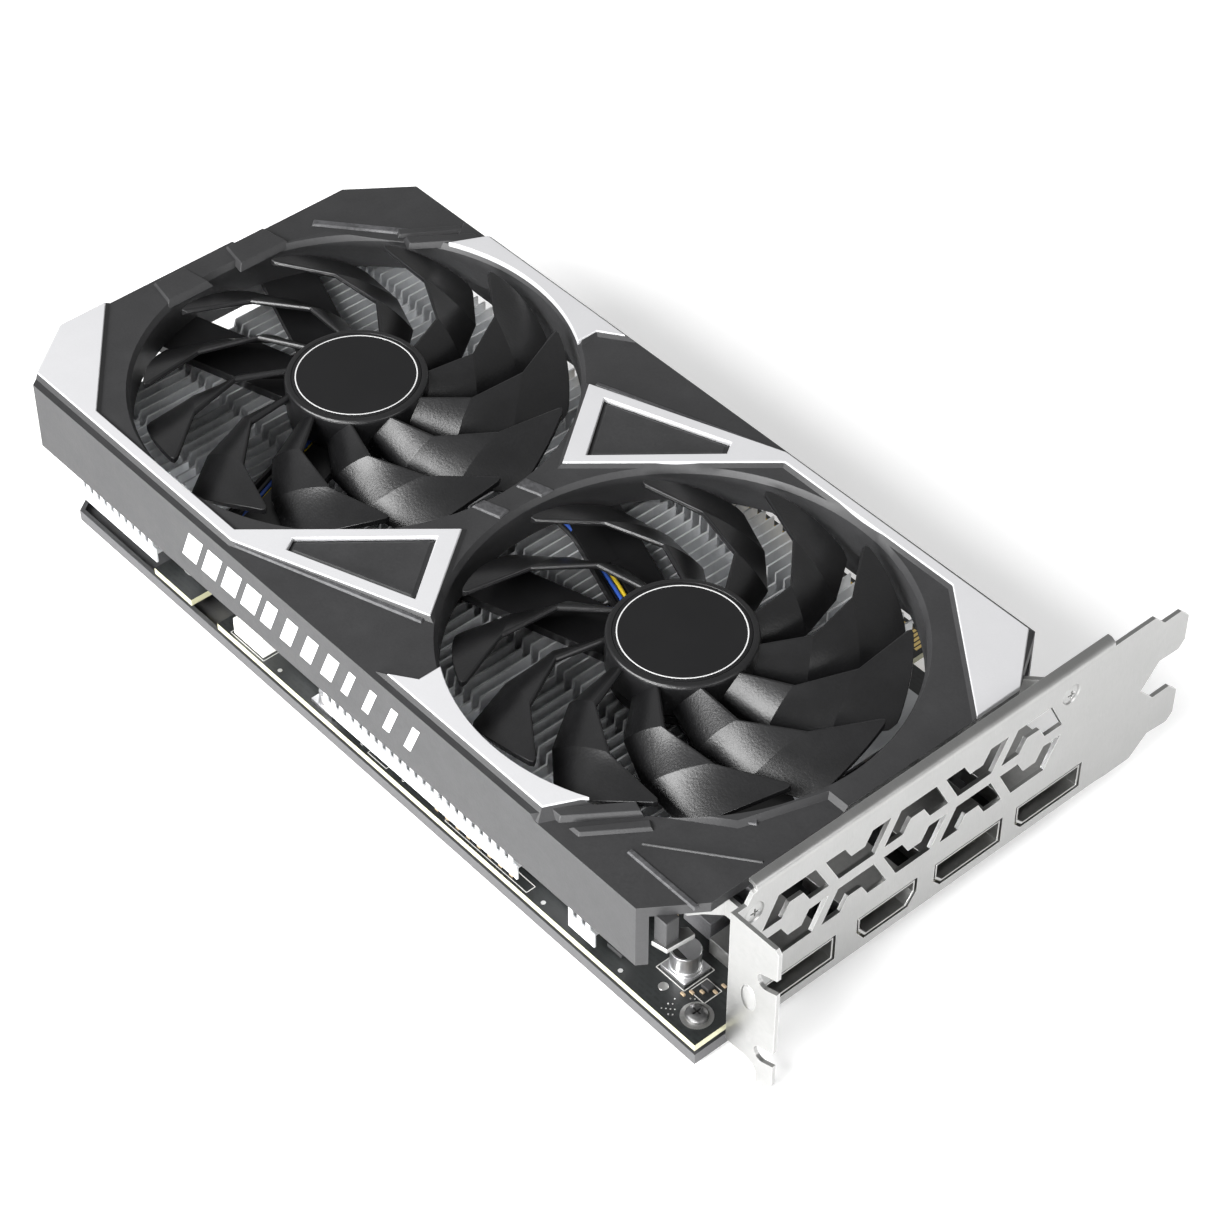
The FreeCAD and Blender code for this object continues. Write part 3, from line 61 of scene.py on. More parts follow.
MM = 0.001
FLANGE_DEPTH, BRACKET_LENGTH, TAB_DEPTH = 11.43, 120.02, 7.2
ORIGIN = Vector((cad_high.x, cad_high.y, 0)) - Vector((FLANGE_DEPTH, BRACKET_LENGTH, -TAB_DEPTH)) * MM
CENTRE_X, CENTRE_Y = -107.0, 39.45
FAN_X = {"front": -57.0, "rear": -157.0}
BODY = {"front": "front_fan_rotor", "rear": "rear_fan_rotor"}
EDGE_REACH = 0.35 * MM


def at(x, y, z):
    """A place in card millimetres as metres in the frame."""
    return ORIGIN + Vector((x, y, z)) * MM


def turned_half(points):
    """Plan points turned half a turn about the shroud's centre."""
    return [(2 * CENTRE_X - x, 2 * CENTRE_Y - y) for x, y in points]


# ---------------------------------------------------------------- materials
class Recipe:
    """A node material that grows step by step from one Principled shader."""

    def __init__(self, name):
        self.material = bpy.data.materials.new(name)
        self.material.use_nodes = True
        self.nodes = self.material.node_tree.nodes
        self.links = self.material.node_tree.links
        self.shader = self.nodes["Principled BSDF"]
        self.place = self.nodes.new("ShaderNodeTexCoord").outputs["Object"]

    def add(self, kind, **inputs):
        made = self.nodes.new(kind)
        for name, value in inputs.items():
            made.inputs[name.replace("_", " ")].default_value = value
        return made

    def stretched(self, scale):
        mapping = self.add("ShaderNodeMapping", Scale=scale)
        self.links.new(self.place, mapping.inputs["Vector"])
        return mapping.outputs["Vector"]

    def noise(self, scale, detail=3.0, rough=0.6, stretch=(1, 1, 1)):
        made = self.add("ShaderNodeTexNoise", Scale=scale, Detail=detail, Roughness=rough)
        self.links.new(self.stretched(stretch), made.inputs["Vector"])
        return made.outputs["Fac"]

    def ramp(self, source, low, high, first=(0, 0, 0, 1), last=(1, 1, 1, 1)):
        made = self.nodes.new("ShaderNodeValToRGB")
        made.color_ramp.elements[0].position = low
        made.color_ramp.elements[1].position = high
        made.color_ramp.elements[0].color = first
        made.color_ramp.elements[1].color = last
        self.links.new(source, made.inputs["Fac"])
        return made.outputs["Color"]

    def mix(self, share, first, last):
        """A colour between two; each of them is a socket or a plain colour."""
        made = self.nodes.new("ShaderNodeMix")
        made.data_type = "RGBA"
        self.links.new(share, made.inputs["Factor"])
        for socket, value in ((made.inputs[6], first), (made.inputs[7], last)):
            if isinstance(value, bpy.types.NodeSocket):
                self.links.new(value, socket)
            else:
                socket.default_value = (*value, 1.0)
        return made.outputs[2]

    def spread(self, source, low, high):
        made = self.nodes.new("ShaderNodeMapRange")
        made.inputs["From Min"].default_value = 0.3
        made.inputs["From Max"].default_value = 0.7
        made.inputs["To Min"].default_value = low
        made.inputs["To Max"].default_value = high
        self.links.new(source, made.inputs["Value"])
        return made.outputs["Result"]

    def bump(self, source, strength, depth, under=None):
        made = self.add("ShaderNodeBump", Strength=strength, Distance=depth)
        self.links.new(source, made.inputs["Height"])
        if under is not None:
            self.links.new(under, made.inputs["Normal"])
        return made.outputs["Normal"]

    def edge_share(self):
        """How much the surface turns within a short reach: 0 on a flat face, more towards an edge."""
        rounded = self.add("ShaderNodeBevel", Radius=EDGE_REACH)
        rounded.samples = 4
        geometry = self.nodes.new("ShaderNodeNewGeometry")
        likeness = self.nodes.new("ShaderNodeVectorMath")
        likeness.operation = "DOT_PRODUCT"
        self.links.new(rounded.outputs["Normal"], likeness.inputs[0])
        self.links.new(geometry.outputs["Normal"], likeness.inputs[1])
        turned_away = self.nodes.new("ShaderNodeMath")
        turned_away.operation = "SUBTRACT"
        turned_away.inputs[0].default_value = 1.0
        self.links.new(likeness.outputs["Value"], turned_away.inputs[1])
        return turned_away.outputs["Value"]

    def normal_z(self):
        geometry = self.nodes.new("ShaderNodeNewGeometry")
        parts = self.nodes.new("ShaderNodeSeparateXYZ")
        self.links.new(geometry.outputs["Normal"], parts.inputs["Vector"])
        return parts.outputs["Z"]


def scaled(colour, factor):
    return tuple(min(1.0, c * factor) for c in colour)


def finish(name, colour, rough, metal=0.0, grain=2500.0, bump=0.15, depth=0.00004, tone=0.1,
           edge_wear_and_highlight=0.0, stretch=(1, 1, 1), specular=0.5):
    """Moulded, painted or metal skin: grain, blotchy tone, uneven gloss and paler edges that are partly wear
    and partly a painted highlight.
    """
    recipe = Recipe(name)
    fine = recipe.noise(grain, 2.0, 0.6, stretch)
    broad = recipe.noise(110.0, 4.0, 0.6)
    tinted = recipe.mix(recipe.ramp(broad, 0.3, 0.7), scaled(colour, 1 - tone), scaled(colour, 1 + tone))
    speck = recipe.mix(recipe.ramp(fine, 0.35, 0.75), scaled(colour, 1 - tone), scaled(colour, 1 + tone))
    blend = recipe.mix(recipe.ramp(recipe.noise(380.0), 0.3, 0.7), tinted, speck)
    # Paler edges: partly wear, partly a painted highlight where light catches the rounded edges.
    if edge_wear_and_highlight:
        edge_wear_and_highlight_share = recipe.ramp(recipe.edge_share(), 0.02, 0.25, last=(edge_wear_and_highlight, edge_wear_and_highlight, edge_wear_and_highlight, 1))
        blend = recipe.mix(edge_wear_and_highlight_share, blend, scaled(colour, 2.2))
    recipe.links.new(blend, recipe.shader.inputs["Base Color"])
    recipe.links.new(recipe.spread(broad, rough * 0.9, rough * 1.12), recipe.shader.inputs["Roughness"])
    recipe.links.new(recipe.bump(fine, bump, depth), recipe.shader.inputs["Normal"])
    recipe.shader.inputs["Metallic"].default_value = metal
    recipe.shader.inputs["Specular IOR Level"].default_value = specular
    return recipe.material


def board_finish(name):
    """Black solder mask over copper runs on the faces, cream glass fibre on the cut edges."""
    recipe = Recipe(name)
    cells = recipe.add("ShaderNodeTexBrick", Scale=1.0, Mortar_Size=0.14)
    cells.inputs["Brick Width"].default_value = 0.9
    cells.inputs["Row Height"].default_value = 0.45
    recipe.links.new(recipe.stretched((420, 420, 420)), cells.inputs["Vector"])
    runs = recipe.mix(cells.outputs["Fac"], (0.010, 0.011, 0.011), (0.017, 0.019, 0.019))
    cloud = recipe.ramp(recipe.noise(160.0), 0.35, 0.65)
    mask = recipe.mix(cloud, runs, (0.012, 0.013, 0.013))
    flat = recipe.nodes.new("ShaderNodeMath")
    flat.operation = "ABSOLUTE"
    recipe.links.new(recipe.normal_z(), flat.inputs[0])
    fibre = recipe.mix(recipe.noise(2600.0, stretch=(0.2, 0.2, 3)), (0.34, 0.33, 0.20), (0.50, 0.49, 0.34))
    recipe.links.new(recipe.mix(recipe.ramp(flat.outputs[0], 0.3, 0.6), fibre, mask),
                     recipe.shader.inputs["Base Color"])
    recipe.links.new(recipe.spread(recipe.noise(900.0), 0.30, 0.42), recipe.shader.inputs["Roughness"])
    recipe.links.new(recipe.bump(cells.outputs["Fac"], 0.25, 0.00003), recipe.shader.inputs["Normal"])
    return recipe.material


CHARCOAL = (0.024, 0.024, 0.025)
BLACK = (0.007, 0.007, 0.0075)
PALE = (0.47, 0.47, 0.48)
STEEL = (0.50, 0.50, 0.50)
# Each wear value sets how pale the edges get: partly wear, partly a painted highlight.
FINISHES = {
    "shroud_plastic": finish("shroud_plastic", CHARCOAL, 0.50, grain=1700, bump=0.55, tone=0.16, edge_wear_and_highlight=0.35),
    "trim_paint": finish("trim_paint", PALE, 0.42, grain=3000, bump=0.12, tone=0.025, edge_wear_and_highlight=0.1),
    "inlay_plastic": finish("inlay_plastic", CHARCOAL, 0.55, grain=1300, bump=0.7, tone=0.2),
    "blade_plastic": finish("blade_plastic", BLACK, 0.31, grain=1900, bump=0.55, depth=0.00006, tone=0.25,
                            edge_wear_and_highlight=0.25),
    "frame_plastic": finish("frame_plastic", BLACK, 0.45, grain=2000, bump=0.3, tone=0.2),
    "hub_label": finish("hub_label", BLACK, 0.5, grain=4000, bump=0.1, tone=0.08, specular=0.25),
    "steel": finish("steel", STEEL, 0.3, 1.0, grain=900, stretch=(1, 1, 9), tone=0.08),
    "nickel_steel": finish("nickel_steel", (0.40, 0.40, 0.395), 0.33, 1.0, grain=700, bump=0.1,
                           stretch=(1, 7, 1), tone=0.06, edge_wear_and_highlight=0.5),
    "black_screw": finish("black_screw", (0.10, 0.10, 0.10), 0.35, 0.8, grain=1800, tone=0.15, edge_wear_and_highlight=0.5),
    "magnet": finish("magnet", (0.06, 0.055, 0.055), 0.6, grain=1500, bump=0.4),
    "bronze": finish("bronze", (0.55, 0.36, 0.20), 0.4, 1.0, grain=2400, bump=0.4),
    "fan_board": finish("fan_board", (0.03, 0.12, 0.05), 0.4, grain=800, bump=0.2),
    "lamination": finish("lamination", (0.35, 0.35, 0.36), 0.45, 1.0, grain=700, stretch=(0.1, 0.1, 9),
                         bump=0.6),
    "copper_wire": finish("copper_wire", (0.60, 0.28, 0.13), 0.3, 1.0, grain=900, stretch=(0.3, 0.3, 6),
                          bump=0.7, depth=0.0001),
    "lead_sleeve": finish("lead_sleeve", (0.02, 0.02, 0.02), 0.45, grain=1200, bump=0.1),
    "aluminium_fin": finish("aluminium_fin", (0.86, 0.87, 0.88), 0.38, 0.62, grain=600, stretch=(2, 2, 0.3),
                            bump=0.12, tone=0.05),
    "nickel_pipe": finish("nickel_pipe", (0.62, 0.61, 0.59), 0.25, 1.0, grain=900, tone=0.08, bump=0.1),
    "base_aluminium": finish("base_aluminium", (0.50, 0.51, 0.52), 0.38, 1.0, grain=900,
                             stretch=(6, 0.4, 1), bump=0.2),
    "copper": finish("copper", (0.62, 0.32, 0.18), 0.3, 1.0, grain=900, stretch=(6, 0.4, 1), bump=0.2),
    "board": board_finish("board"),
    "gold": finish("gold", (0.83, 0.62, 0.25), 0.25, 1.0, grain=1500, bump=0.1, tone=0.08),
    "package": finish("package", (0.04, 0.10, 0.06), 0.4, grain=1200, bump=0.2),
    "silicon": finish("silicon", (0.10, 0.11, 0.13), 0.12, 0.6, grain=600, bump=0.02),
    "chip": finish("chip", (0.03, 0.03, 0.031), 0.5, grain=2600, bump=0.4, tone=0.2),
    "thermal_pad": finish("thermal_pad", (0.45, 0.50, 0.55), 0.8, grain=1500, bump=0.5),
    "choke": finish("choke", (0.12, 0.12, 0.125), 0.55, grain=1600, bump=0.6, tone=0.2),
    "can": finish("can", (0.70, 0.70, 0.71), 0.3, 1.0, grain=900, stretch=(1, 1, 0.2), bump=0.1),
    "ceramic_part": finish("ceramic_part", (0.30, 0.23, 0.15), 0.4, grain=2500, tone=0.25),
    "black_connector": finish("black_connector", (0.02, 0.02, 0.02), 0.4, grain=1800, bump=0.25, edge_wear_and_highlight=0.2),
    "tin": finish("tin", (0.68, 0.68, 0.66), 0.35, 1.0, grain=1500, bump=0.2),
    "white_connector": finish("white_connector", (0.75, 0.75, 0.71), 0.4, grain=1200, bump=0.15,
                              tone=0.04),
    "backplate_paint": finish("backplate_paint", (0.05, 0.05, 0.052), 0.42, grain=1900, bump=0.35,
                              tone=0.12, edge_wear_and_highlight=0.3),
    "port_liner": finish("port_liner", (0.45, 0.45, 0.44), 0.35, 1.0, grain=900, bump=0.1),
    "port_tongue": finish("port_tongue", (0.05, 0.05, 0.05), 0.5, grain=1500, bump=0.2),
}
EXTRA = {
    "textured": finish("textured_plastic", (0.055, 0.055, 0.058), 0.5, grain=1000, bump=0.9, depth=0.00012,
                       tone=0.5),
    "side_print": finish("side_print", (0.74, 0.74, 0.74), 0.45, grain=2500, bump=0.1, tone=0.03),
    "ring_print": finish("ring_print", (0.62, 0.62, 0.62), 0.45, grain=2500, bump=0.1, tone=0.03),
    "board_print": finish("board_print", (0.50, 0.50, 0.48), 0.6, grain=2000, bump=0.1, tone=0.05),
    "yellow_sleeve": finish("yellow_sleeve", (0.62, 0.45, 0.03), 0.4, grain=1200, bump=0.1),
    "blue_sleeve": finish("blue_sleeve", (0.03, 0.09, 0.40), 0.4, grain=1200, bump=0.1),
    "dark_wall": finish("dark_wall", (0.012, 0.012, 0.012), 0.6, grain=1500, bump=0.3, tone=0.1),
}
SLOT_OF = {row["node"]: row["material_slot"] for row in frame["record"]["subparts"]}


def paint(piece, *materials):
    piece.data.materials.clear()
    for material in materials:
        piece.data.materials.append(material)
    return piece


# ---------------------------------------------------------------- mesh helpers
LARGE_FACE = 200 * MM ** 2


def new_piece(name, mesh_tool, material, body="card", stands_for=(), smooth=40):
    """Turn a bmesh into a piece that rides on a body.

    Edges sharper than an angle are kept crisp, and so is every edge of a large flat face.
    """
    bmesh.ops.recalc_face_normals(mesh_tool, faces=mesh_tool.faces)
    for face in mesh_tool.faces:
        face.smooth = True
    for edge in mesh_tool.edges:
        if len(edge.link_faces) == 2:
            large = max(face.calc_area() for face in edge.link_faces) > LARGE_FACE
            edge.smooth = edge.calc_face_angle() < math.radians(1 if large else smooth)
    mesh = bpy.data.meshes.new(name)
    mesh_tool.to_mesh(mesh)
    mesh_tool.free()
    piece = bpy.data.objects.new(name, mesh)
    bpy.context.scene.collection.objects.link(piece)
    paint(piece, material)
    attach(piece, body)
    if stands_for:
        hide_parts(*stands_for)
    return piece


def soften(piece, width, angle=32, segments=2):
    """Rounded edges of a width in millimetres, with even shading over flat faces."""
    bevel = piece.modifiers.new("rounded_edges", "BEVEL")
    bevel.width = width * MM
    bevel.segments = segments
    bevel.limit_method = "ANGLE"
    bevel.angle_limit = math.radians(angle)
    even = piece.modifiers.new("even_shading", "WEIGHTED_NORMAL")
    even.keep_sharp = True
    even.weight = 100
    return piece


def welded(node):
    """A CAD node's shape as a bmesh with shared corners and whole flat faces."""
    tool = bmesh.new()
    tool.from_mesh(frame["nodes"][node].data)
    bmesh.ops.remove_doubles(tool, verts=tool.verts, dist=0.002 * MM)
    bmesh.ops.dissolve_limit(tool, angle_limit=math.radians(0.4), verts=tool.verts, edges=tool.edges)
    return tool


def body_of(node):
    for side, body in BODY.items():
        if node in frame["record"]["behaviour"]["bodies"][body]:
            return body
    return "card"


def refined(node, width, angle=32, segments=2):
    """A piece in place of a CAD node: the same shape with rounded edges."""
    slot = SLOT_OF[node]
    piece = new_piece(node + "_finished", welded(node), FINISHES[slot], body_of(node), (node,), 30)
    return soften(piece, width, angle, segments)


def turned(tool, x, y, profile, steps=96):
    """Add a closed profile of (radius, level) points turned about a vertical axis."""
    rings = []
    for step in range(steps):
        angle = 2 * math.pi * step / steps
        across, along = math.cos(angle), math.sin(angle)
        rings.append([tool.verts.new(at(x + r * across, y + r * along, z)) for r, z in profile])
    count = len(profile)
    for step in range(steps):
        here, there = rings[step], rings[(step + 1) % steps]
        for i in range(count):
            j = (i + 1) % count
            tool.faces.new((here[i], here[j], there[j], there[i]))
    bmesh.ops.remove_doubles(tool, verts=tool.verts, dist=0.0005 * MM)
    return tool


def inset_plan(points, margin):
    """A plan outline drawn in by a margin, corner by corner."""
    count = len(points)
    area = sum(points[i][0] * points[(i + 1) % count][1] - points[(i + 1) % count][0] * points[i][1]
               for i in range(count))
    sign = 1 if area > 0 else -1
    made = []
    for i, (x, y) in enumerate(points):
        before, after = points[i - 1], points[(i + 1) % count]
        first = Vector((x - before[0], y - before[1])).normalized()
        second = Vector((after[0] - x, after[1] - y)).normalized()
        normal_one = Vector((-first.y, first.x)) * sign
        normal_two = Vector((-second.y, second.x)) * sign
        share = max(0.3, 1 + normal_one.dot(normal_two))
        shift = (normal_one + normal_two) * (margin / share)
        made.append((x + shift.x, y + shift.y))
    return made


def raised(tool, points, low, high, lean=0.0):
    """Add a flat-topped ridge over a plan outline; its sides lean in by lean."""
    top = inset_plan(points, lean) if lean else points
    foot_ring = [tool.verts.new(at(x, y, low)) for x, y in points]
    top_ring = [tool.verts.new(at(x, y, high)) for x, y in top]
    count = len(points)
    tool.faces.new(foot_ring)
    tool.faces.new(top_ring)
    for i in range(count):
        j = (i + 1) % count
        tool.faces.new((foot_ring[i], foot_ring[j], top_ring[j], top_ring[i]))
    return tool


def bar(start, end, width):
    """Plan outline of a straight bar between two points."""
    along = Vector((end[0] - start[0], end[1] - start[1])).normalized()
    side = Vector((-along.y, along.x)) * width / 2
    return [(start[0] + side.x, start[1] + side.y), (start[0] - side.x, start[1] - side.y),
            (end[0] - side.x, end[1] - side.y), (end[0] + side.x, end[1] + side.y)]


# ---------------------------------------------------------------- camera, lights and floor
# Camera as fitted to the photo: place in card millimetres, turn in degrees, lens in millimetres.
CAMERA_PLACE, CAMERA_TURN = (270.06, -268.11, 477.58), (45.7999, -0.1266, 48.7157)
CAMERA_LENS, SENSOR_WIDTH = 98.48, 36.0
CLIP_NEAR, CLIP_FAR = 0.01, 20.0
# Soft boxes in metres: name, place, target, width, height, power in watts.
SOFT_BOXES = (
    ("near_box", (-0.10, -0.75, 0.62), (0, 0, 0.03), 1.0, 0.35, 18),
    ("wall_box", (0.35, -0.85, 0.12), (0.02, 0, 0.02), 0.9, 0.2, 20),
    ("bracket_box", (0.85, 0.10, 0.30), (0, 0, 0.03), 0.5, 0.35, 2),
)
WORLD_STRENGTH, FLOOR_GLOW, FLOOR_REACH = 0.40, 0.30, 6.0


def build_camera():
    camera = bpy.data.objects.new("camera", bpy.data.cameras.new("camera"))
    bpy.context.scene.collection.objects.link(camera)
    camera.data.sensor_width = SENSOR_WIDTH
    camera.data.lens = CAMERA_LENS
    camera.data.clip_start = CLIP_NEAR
    camera.data.clip_end = CLIP_FAR
    camera.location = at(*CAMERA_PLACE)
    camera.rotation_euler = [math.radians(angle) for angle in CAMERA_TURN]
    bpy.context.scene.camera = camera


def soft_box(name, spot, target, wide, high, power):
    lamp = bpy.data.lights.new(name, "AREA")
    lamp.shape = "RECTANGLE"
    lamp.size = wide
    lamp.size_y = high
    lamp.energy = power
    thing = bpy.data.objects.new(name, lamp)
    thing.location = spot
    thing.rotation_euler = (Vector(target) - Vector(spot)).to_track_quat("-Z", "Y").to_euler()
    bpy.context.scene.collection.objects.link(thing)


def build_lights():
    world = bpy.data.worlds.new("studio")
    world.use_nodes = True
    world.node_tree.nodes["Background"].inputs["Color"].default_value = (1, 1, 1, 1)
    world.node_tree.nodes["Background"].inputs["Strength"].default_value = WORLD_STRENGTH
    bpy.context.scene.world = world
    bpy.context.scene.view_settings.view_transform = "Standard"
    bpy.context.scene.view_settings.exposure = 0.0
    for row in SOFT_BOXES:
        soft_box(*row)


def build_floor():
    recipe = Recipe("floor_paper")
    recipe.links.new(recipe.mix(recipe.noise(6.0), (0.86, 0.86, 0.86), (0.90, 0.90, 0.90)),
                     recipe.shader.inputs["Base Color"])
    recipe.shader.inputs["Roughness"].default_value = 0.8
    recipe.shader.inputs["Emission Color"].default_value = (1, 1, 1, 1)
    recipe.shader.inputs["Emission Strength"].default_value = FLOOR_GLOW
    mesh = bpy.data.meshes.new("floor")
    reach = FLOOR_REACH
    mesh.from_pydata([(-reach, -reach, 0), (reach, -reach, 0), (reach, reach, 0), (-reach, reach, 0)], [],
                     [(0, 1, 2, 3)])
    floor = bpy.data.objects.new("floor", mesh)
    bpy.context.scene.collection.objects.link(floor)
    paint(floor, recipe.material)


# ---------------------------------------------------------------- fans
# Each station of a blade: radius, angles of its high and low edges, levels of those edges.
BLADE_STATIONS = ((14.3, -1.0, -23.0, 34.5, 28.2), (24.9, 10.2, -8.0, 34.6, 28.0),
                  (34.3, 28.2, 6.0, 34.6, 27.6), (47.0, 50.1, 21.4, 34.6, 27.5))
BLADE_COUNT, BLADE_TIP, BLADE_CAMBER, BLADE_THICK = 11, 43.9, 0.07, 1.2
ROOT_ANGLE = {"front": 103.2, "rear": 187.0}
CHORD_STEPS, SPAN_STEPS = 14, 5
HUB_TOP, HUB_BOTTOM, HUB_RADIUS = 34.9, 27.0, 14.9


def on_circle(radius, angle, level):
    turn = math.radians(angle)
    return Vector((radius * math.cos(turn), radius * math.sin(turn), level))


def chord_point(station, share):
    """A point across one blade station, bowed upwards, and the way that its skin faces."""
    radius, high_angle, low_angle, high, low = station
    first = on_circle(radius, high_angle, high)
    last = on_circle(radius, low_angle, low)
    chord = last - first
    out = Vector((chord.x, chord.y, 0)).normalized().cross(Vector((0, 0, 1)))
    up = out.cross(chord).normalized()
    up = up if up.z > 0 else -up
    bow = 4 * BLADE_CAMBER * chord.length * share * (1 - share)
    slope = chord + up * (4 * BLADE_CAMBER * chord.length * (1 - 2 * share))
    facing = out.cross(slope).normalized()
    facing = facing if facing.z > 0 else -facing
    return first + chord * share + up * bow, facing


def trimmed(inner, outer, share):
    """How far along a line from inner to outer the blade's round tip lies."""
    low, high = 0.0, 1.0
    limit = BLADE_TIP - 1.6 * max(0.0, 1 - share / 0.09) ** 2 - 1.2 * max(0.0, (share - 0.93) / 0.07) ** 2
    for _ in range(24):
        middle = (low + high) / 2
        point = inner.lerp(outer, middle)
        if math.hypot(point.x, point.y) < limit:
            low = middle
        else:
            high = middle
    return low


def blade_loops():
    """Closed loops of points round the blade, from its root to its tip."""
    shares = [0.5 - 0.5 * math.cos(math.pi * i / CHORD_STEPS) for i in range(CHORD_STEPS + 1)]
    spans = []
    for piece in range(len(BLADE_STATIONS) - 1):
        steps = SPAN_STEPS if piece < 2 else SPAN_STEPS + 3
        first = 0 if piece == 0 else 1
        spans += [(piece, step / steps) for step in range(first, steps + 1)]
    loops = []
    for piece, part in spans:
        upper, lower = [], []
        for share in shares:
            inner, inner_face = chord_point(BLADE_STATIONS[piece], share)
            outer, outer_face = chord_point(BLADE_STATIONS[piece + 1], share)
            reach = trimmed(inner, outer, share) * part if piece == 2 else part
            point = inner.lerp(outer, reach)
            facing = inner_face.lerp(outer_face, reach).normalized()
            thick = BLADE_THICK * (1.15 - 0.6 * share)
            round_off = math.sqrt(max(0.0, 1 - (1 - min(share / 0.05, 1.0)) ** 2))
            upper.append(point - facing * thick * 0.5 * (1 - round_off))
            lower.append(point - facing * thick * (0.5 + 0.5 * round_off))
        loops.append(upper + lower[::-1])
    return loops


def build_impeller(side):
    tool = bmesh.new()
    x = FAN_X[side]
    hub = [(HUB_RADIUS, HUB_BOTTOM), (HUB_RADIUS, HUB_TOP - 0.75), (HUB_RADIUS - 0.12, HUB_TOP - 0.35),
           (HUB_RADIUS - 0.4, HUB_TOP - 0.08), (HUB_RADIUS - 0.75, HUB_TOP), (13.55, HUB_TOP),
           (13.45, HUB_TOP - 0.22), (2.4, HUB_TOP - 0.22), (2.4, HUB_TOP - 2.6), (1.02, HUB_TOP - 2.6),
           (1.02, HUB_TOP - 1.3), (2.5, HUB_TOP - 1.3), (13.9, HUB_TOP - 1.3), (13.9, HUB_BOTTOM)]
    turned(tool, x, CENTRE_Y, hub, 120)
    loops = blade_loops()
    for blade in range(BLADE_COUNT):
        turn = Matrix.Rotation(math.radians(ROOT_ANGLE[side] + blade * 360 / BLADE_COUNT), 3, "Z")
        rings = []
        for loop in loops:
            spots = [turn @ point for point in loop]
            rings.append([tool.verts.new(at(x + p.x, CENTRE_Y + p.y, p.z)) for p in spots])
        count = len(rings[0])
        for here, there in zip(rings, rings[1:]):
            for i in range(count):
                j = (i + 1) % count
                tool.faces.new((here[i], here[j], there[j], there[i]))
        half = count // 2
        for ring in (rings[0], rings[-1]):
            for i in range(half - 1):
                tool.faces.new((ring[i], ring[i + 1], ring[count - 2 - i], ring[count - 1 - i]))
    piece = new_piece(side + "_fan_wheel", tool, FINISHES["blade_plastic"], BODY[side],
                      (side + "_impeller",), 8)
    bevel = piece.modifiers.new("soft_creases", "BEVEL")
    bevel.width = 0.22 * MM
    bevel.segments = 2
    bevel.limit_method = "ANGLE"
    bevel.angle_limit = math.radians(8)


def build_hub_disc(side):
    """The flat label disc on a hub, with a thin pale ring printed near its edge."""
    x = FAN_X[side]
    disc = turned(bmesh.new(), x, CENTRE_Y, [(0.0, 34.66), (13.38, 34.66), (13.4, 34.8), (13.3, 34.86),
                                             (12.9, 34.875), (0.0, 34.88)], 120)
    new_piece(side + "_label_disc", disc, FINISHES["hub_label"], BODY[side],
              (side + "_hub_disc",))
    ring = turned(bmesh.new(), x, CENTRE_Y, [(12.42, 34.872), (12.68, 34.872), (12.66, 34.895),
                                             (12.44, 34.895)], 120)
    new_piece(side + "_label_ring", ring, EXTRA["ring_print"], BODY[side])


# ---------------------------------------------------------------- leads
LEAD_ROUTES = {
    # x, y, z of the first lead's points, and the step from one lead to the next
    "front": (((-68.8, 40.9, 25.35), (-0.35, -1.0, 0)), ((-108.0, 54.6, 25.35), (1.0, -1.4, 0.0)),
              ((-108.0, 40.0, 29.2), (1.0, 0.0, -1.05)), ((-108.0, 22.0, 29.2), (1.0, 0.0, -1.05)),
              ((-111.5, 8.0, 29.2), (1.0, -1.0, -1.05)), ((-124.0, -1.0, 29.0), (1.1, -1.0, -1.05)),
              ((-137.2, -5.7, 26.2), (1.3, -0.4, -1.0)), ((-137.2, -6.4, 15.0), (1.3, 0.0, 0.0)),
              ((-137.2, -3.2, 8.6), (1.3, 0.0, 0.0)), ((-137.2, -3.2, 4.9), (1.3, 0.0, 0.0))),
    "rear": (((-155.4, 27.7, 25.35), (-1.0, -0.36, 0)), ((-143.1, -6.0, 25.35), (-1.0, -0.36, 0)),
             ((-143.1, -7.4, 17.5), (-1.05, 0.0, 0.0)), ((-139.0, -3.2, 9.0), (-1.3, 0.0, 0.0)),
             ((-139.0, -3.2, 4.9), (-1.3, 0.0, 0.0))),
}
LEAD_COLOURS = ("yellow_sleeve", "blue_sleeve", "black_sleeve")
LEAD_RADIUS = 0.45


def build_lead_cover():
    """The bridge that closes the outer part of the front lead channel."""
    tool = bmesh.new()
    turn = math.radians(160.7)
    way = Vector((math.cos(turn), math.sin(turn)))
    start, end = way * 31.0, way * 46.0
    centre = (FAN_X["front"], CENTRE_Y)
    aside = Vector((-way.y, way.x)) * 3.0
    points = [(centre[0] + p.x + aside.x, centre[1] + p.y + aside.y) for p in (start, end)]
    raised(tool, bar(points[0], points[1], 5.6), 25.9, 26.4, 0.2)
    new_piece("front_lead_bridge", tool, FINISHES["frame_plastic"])


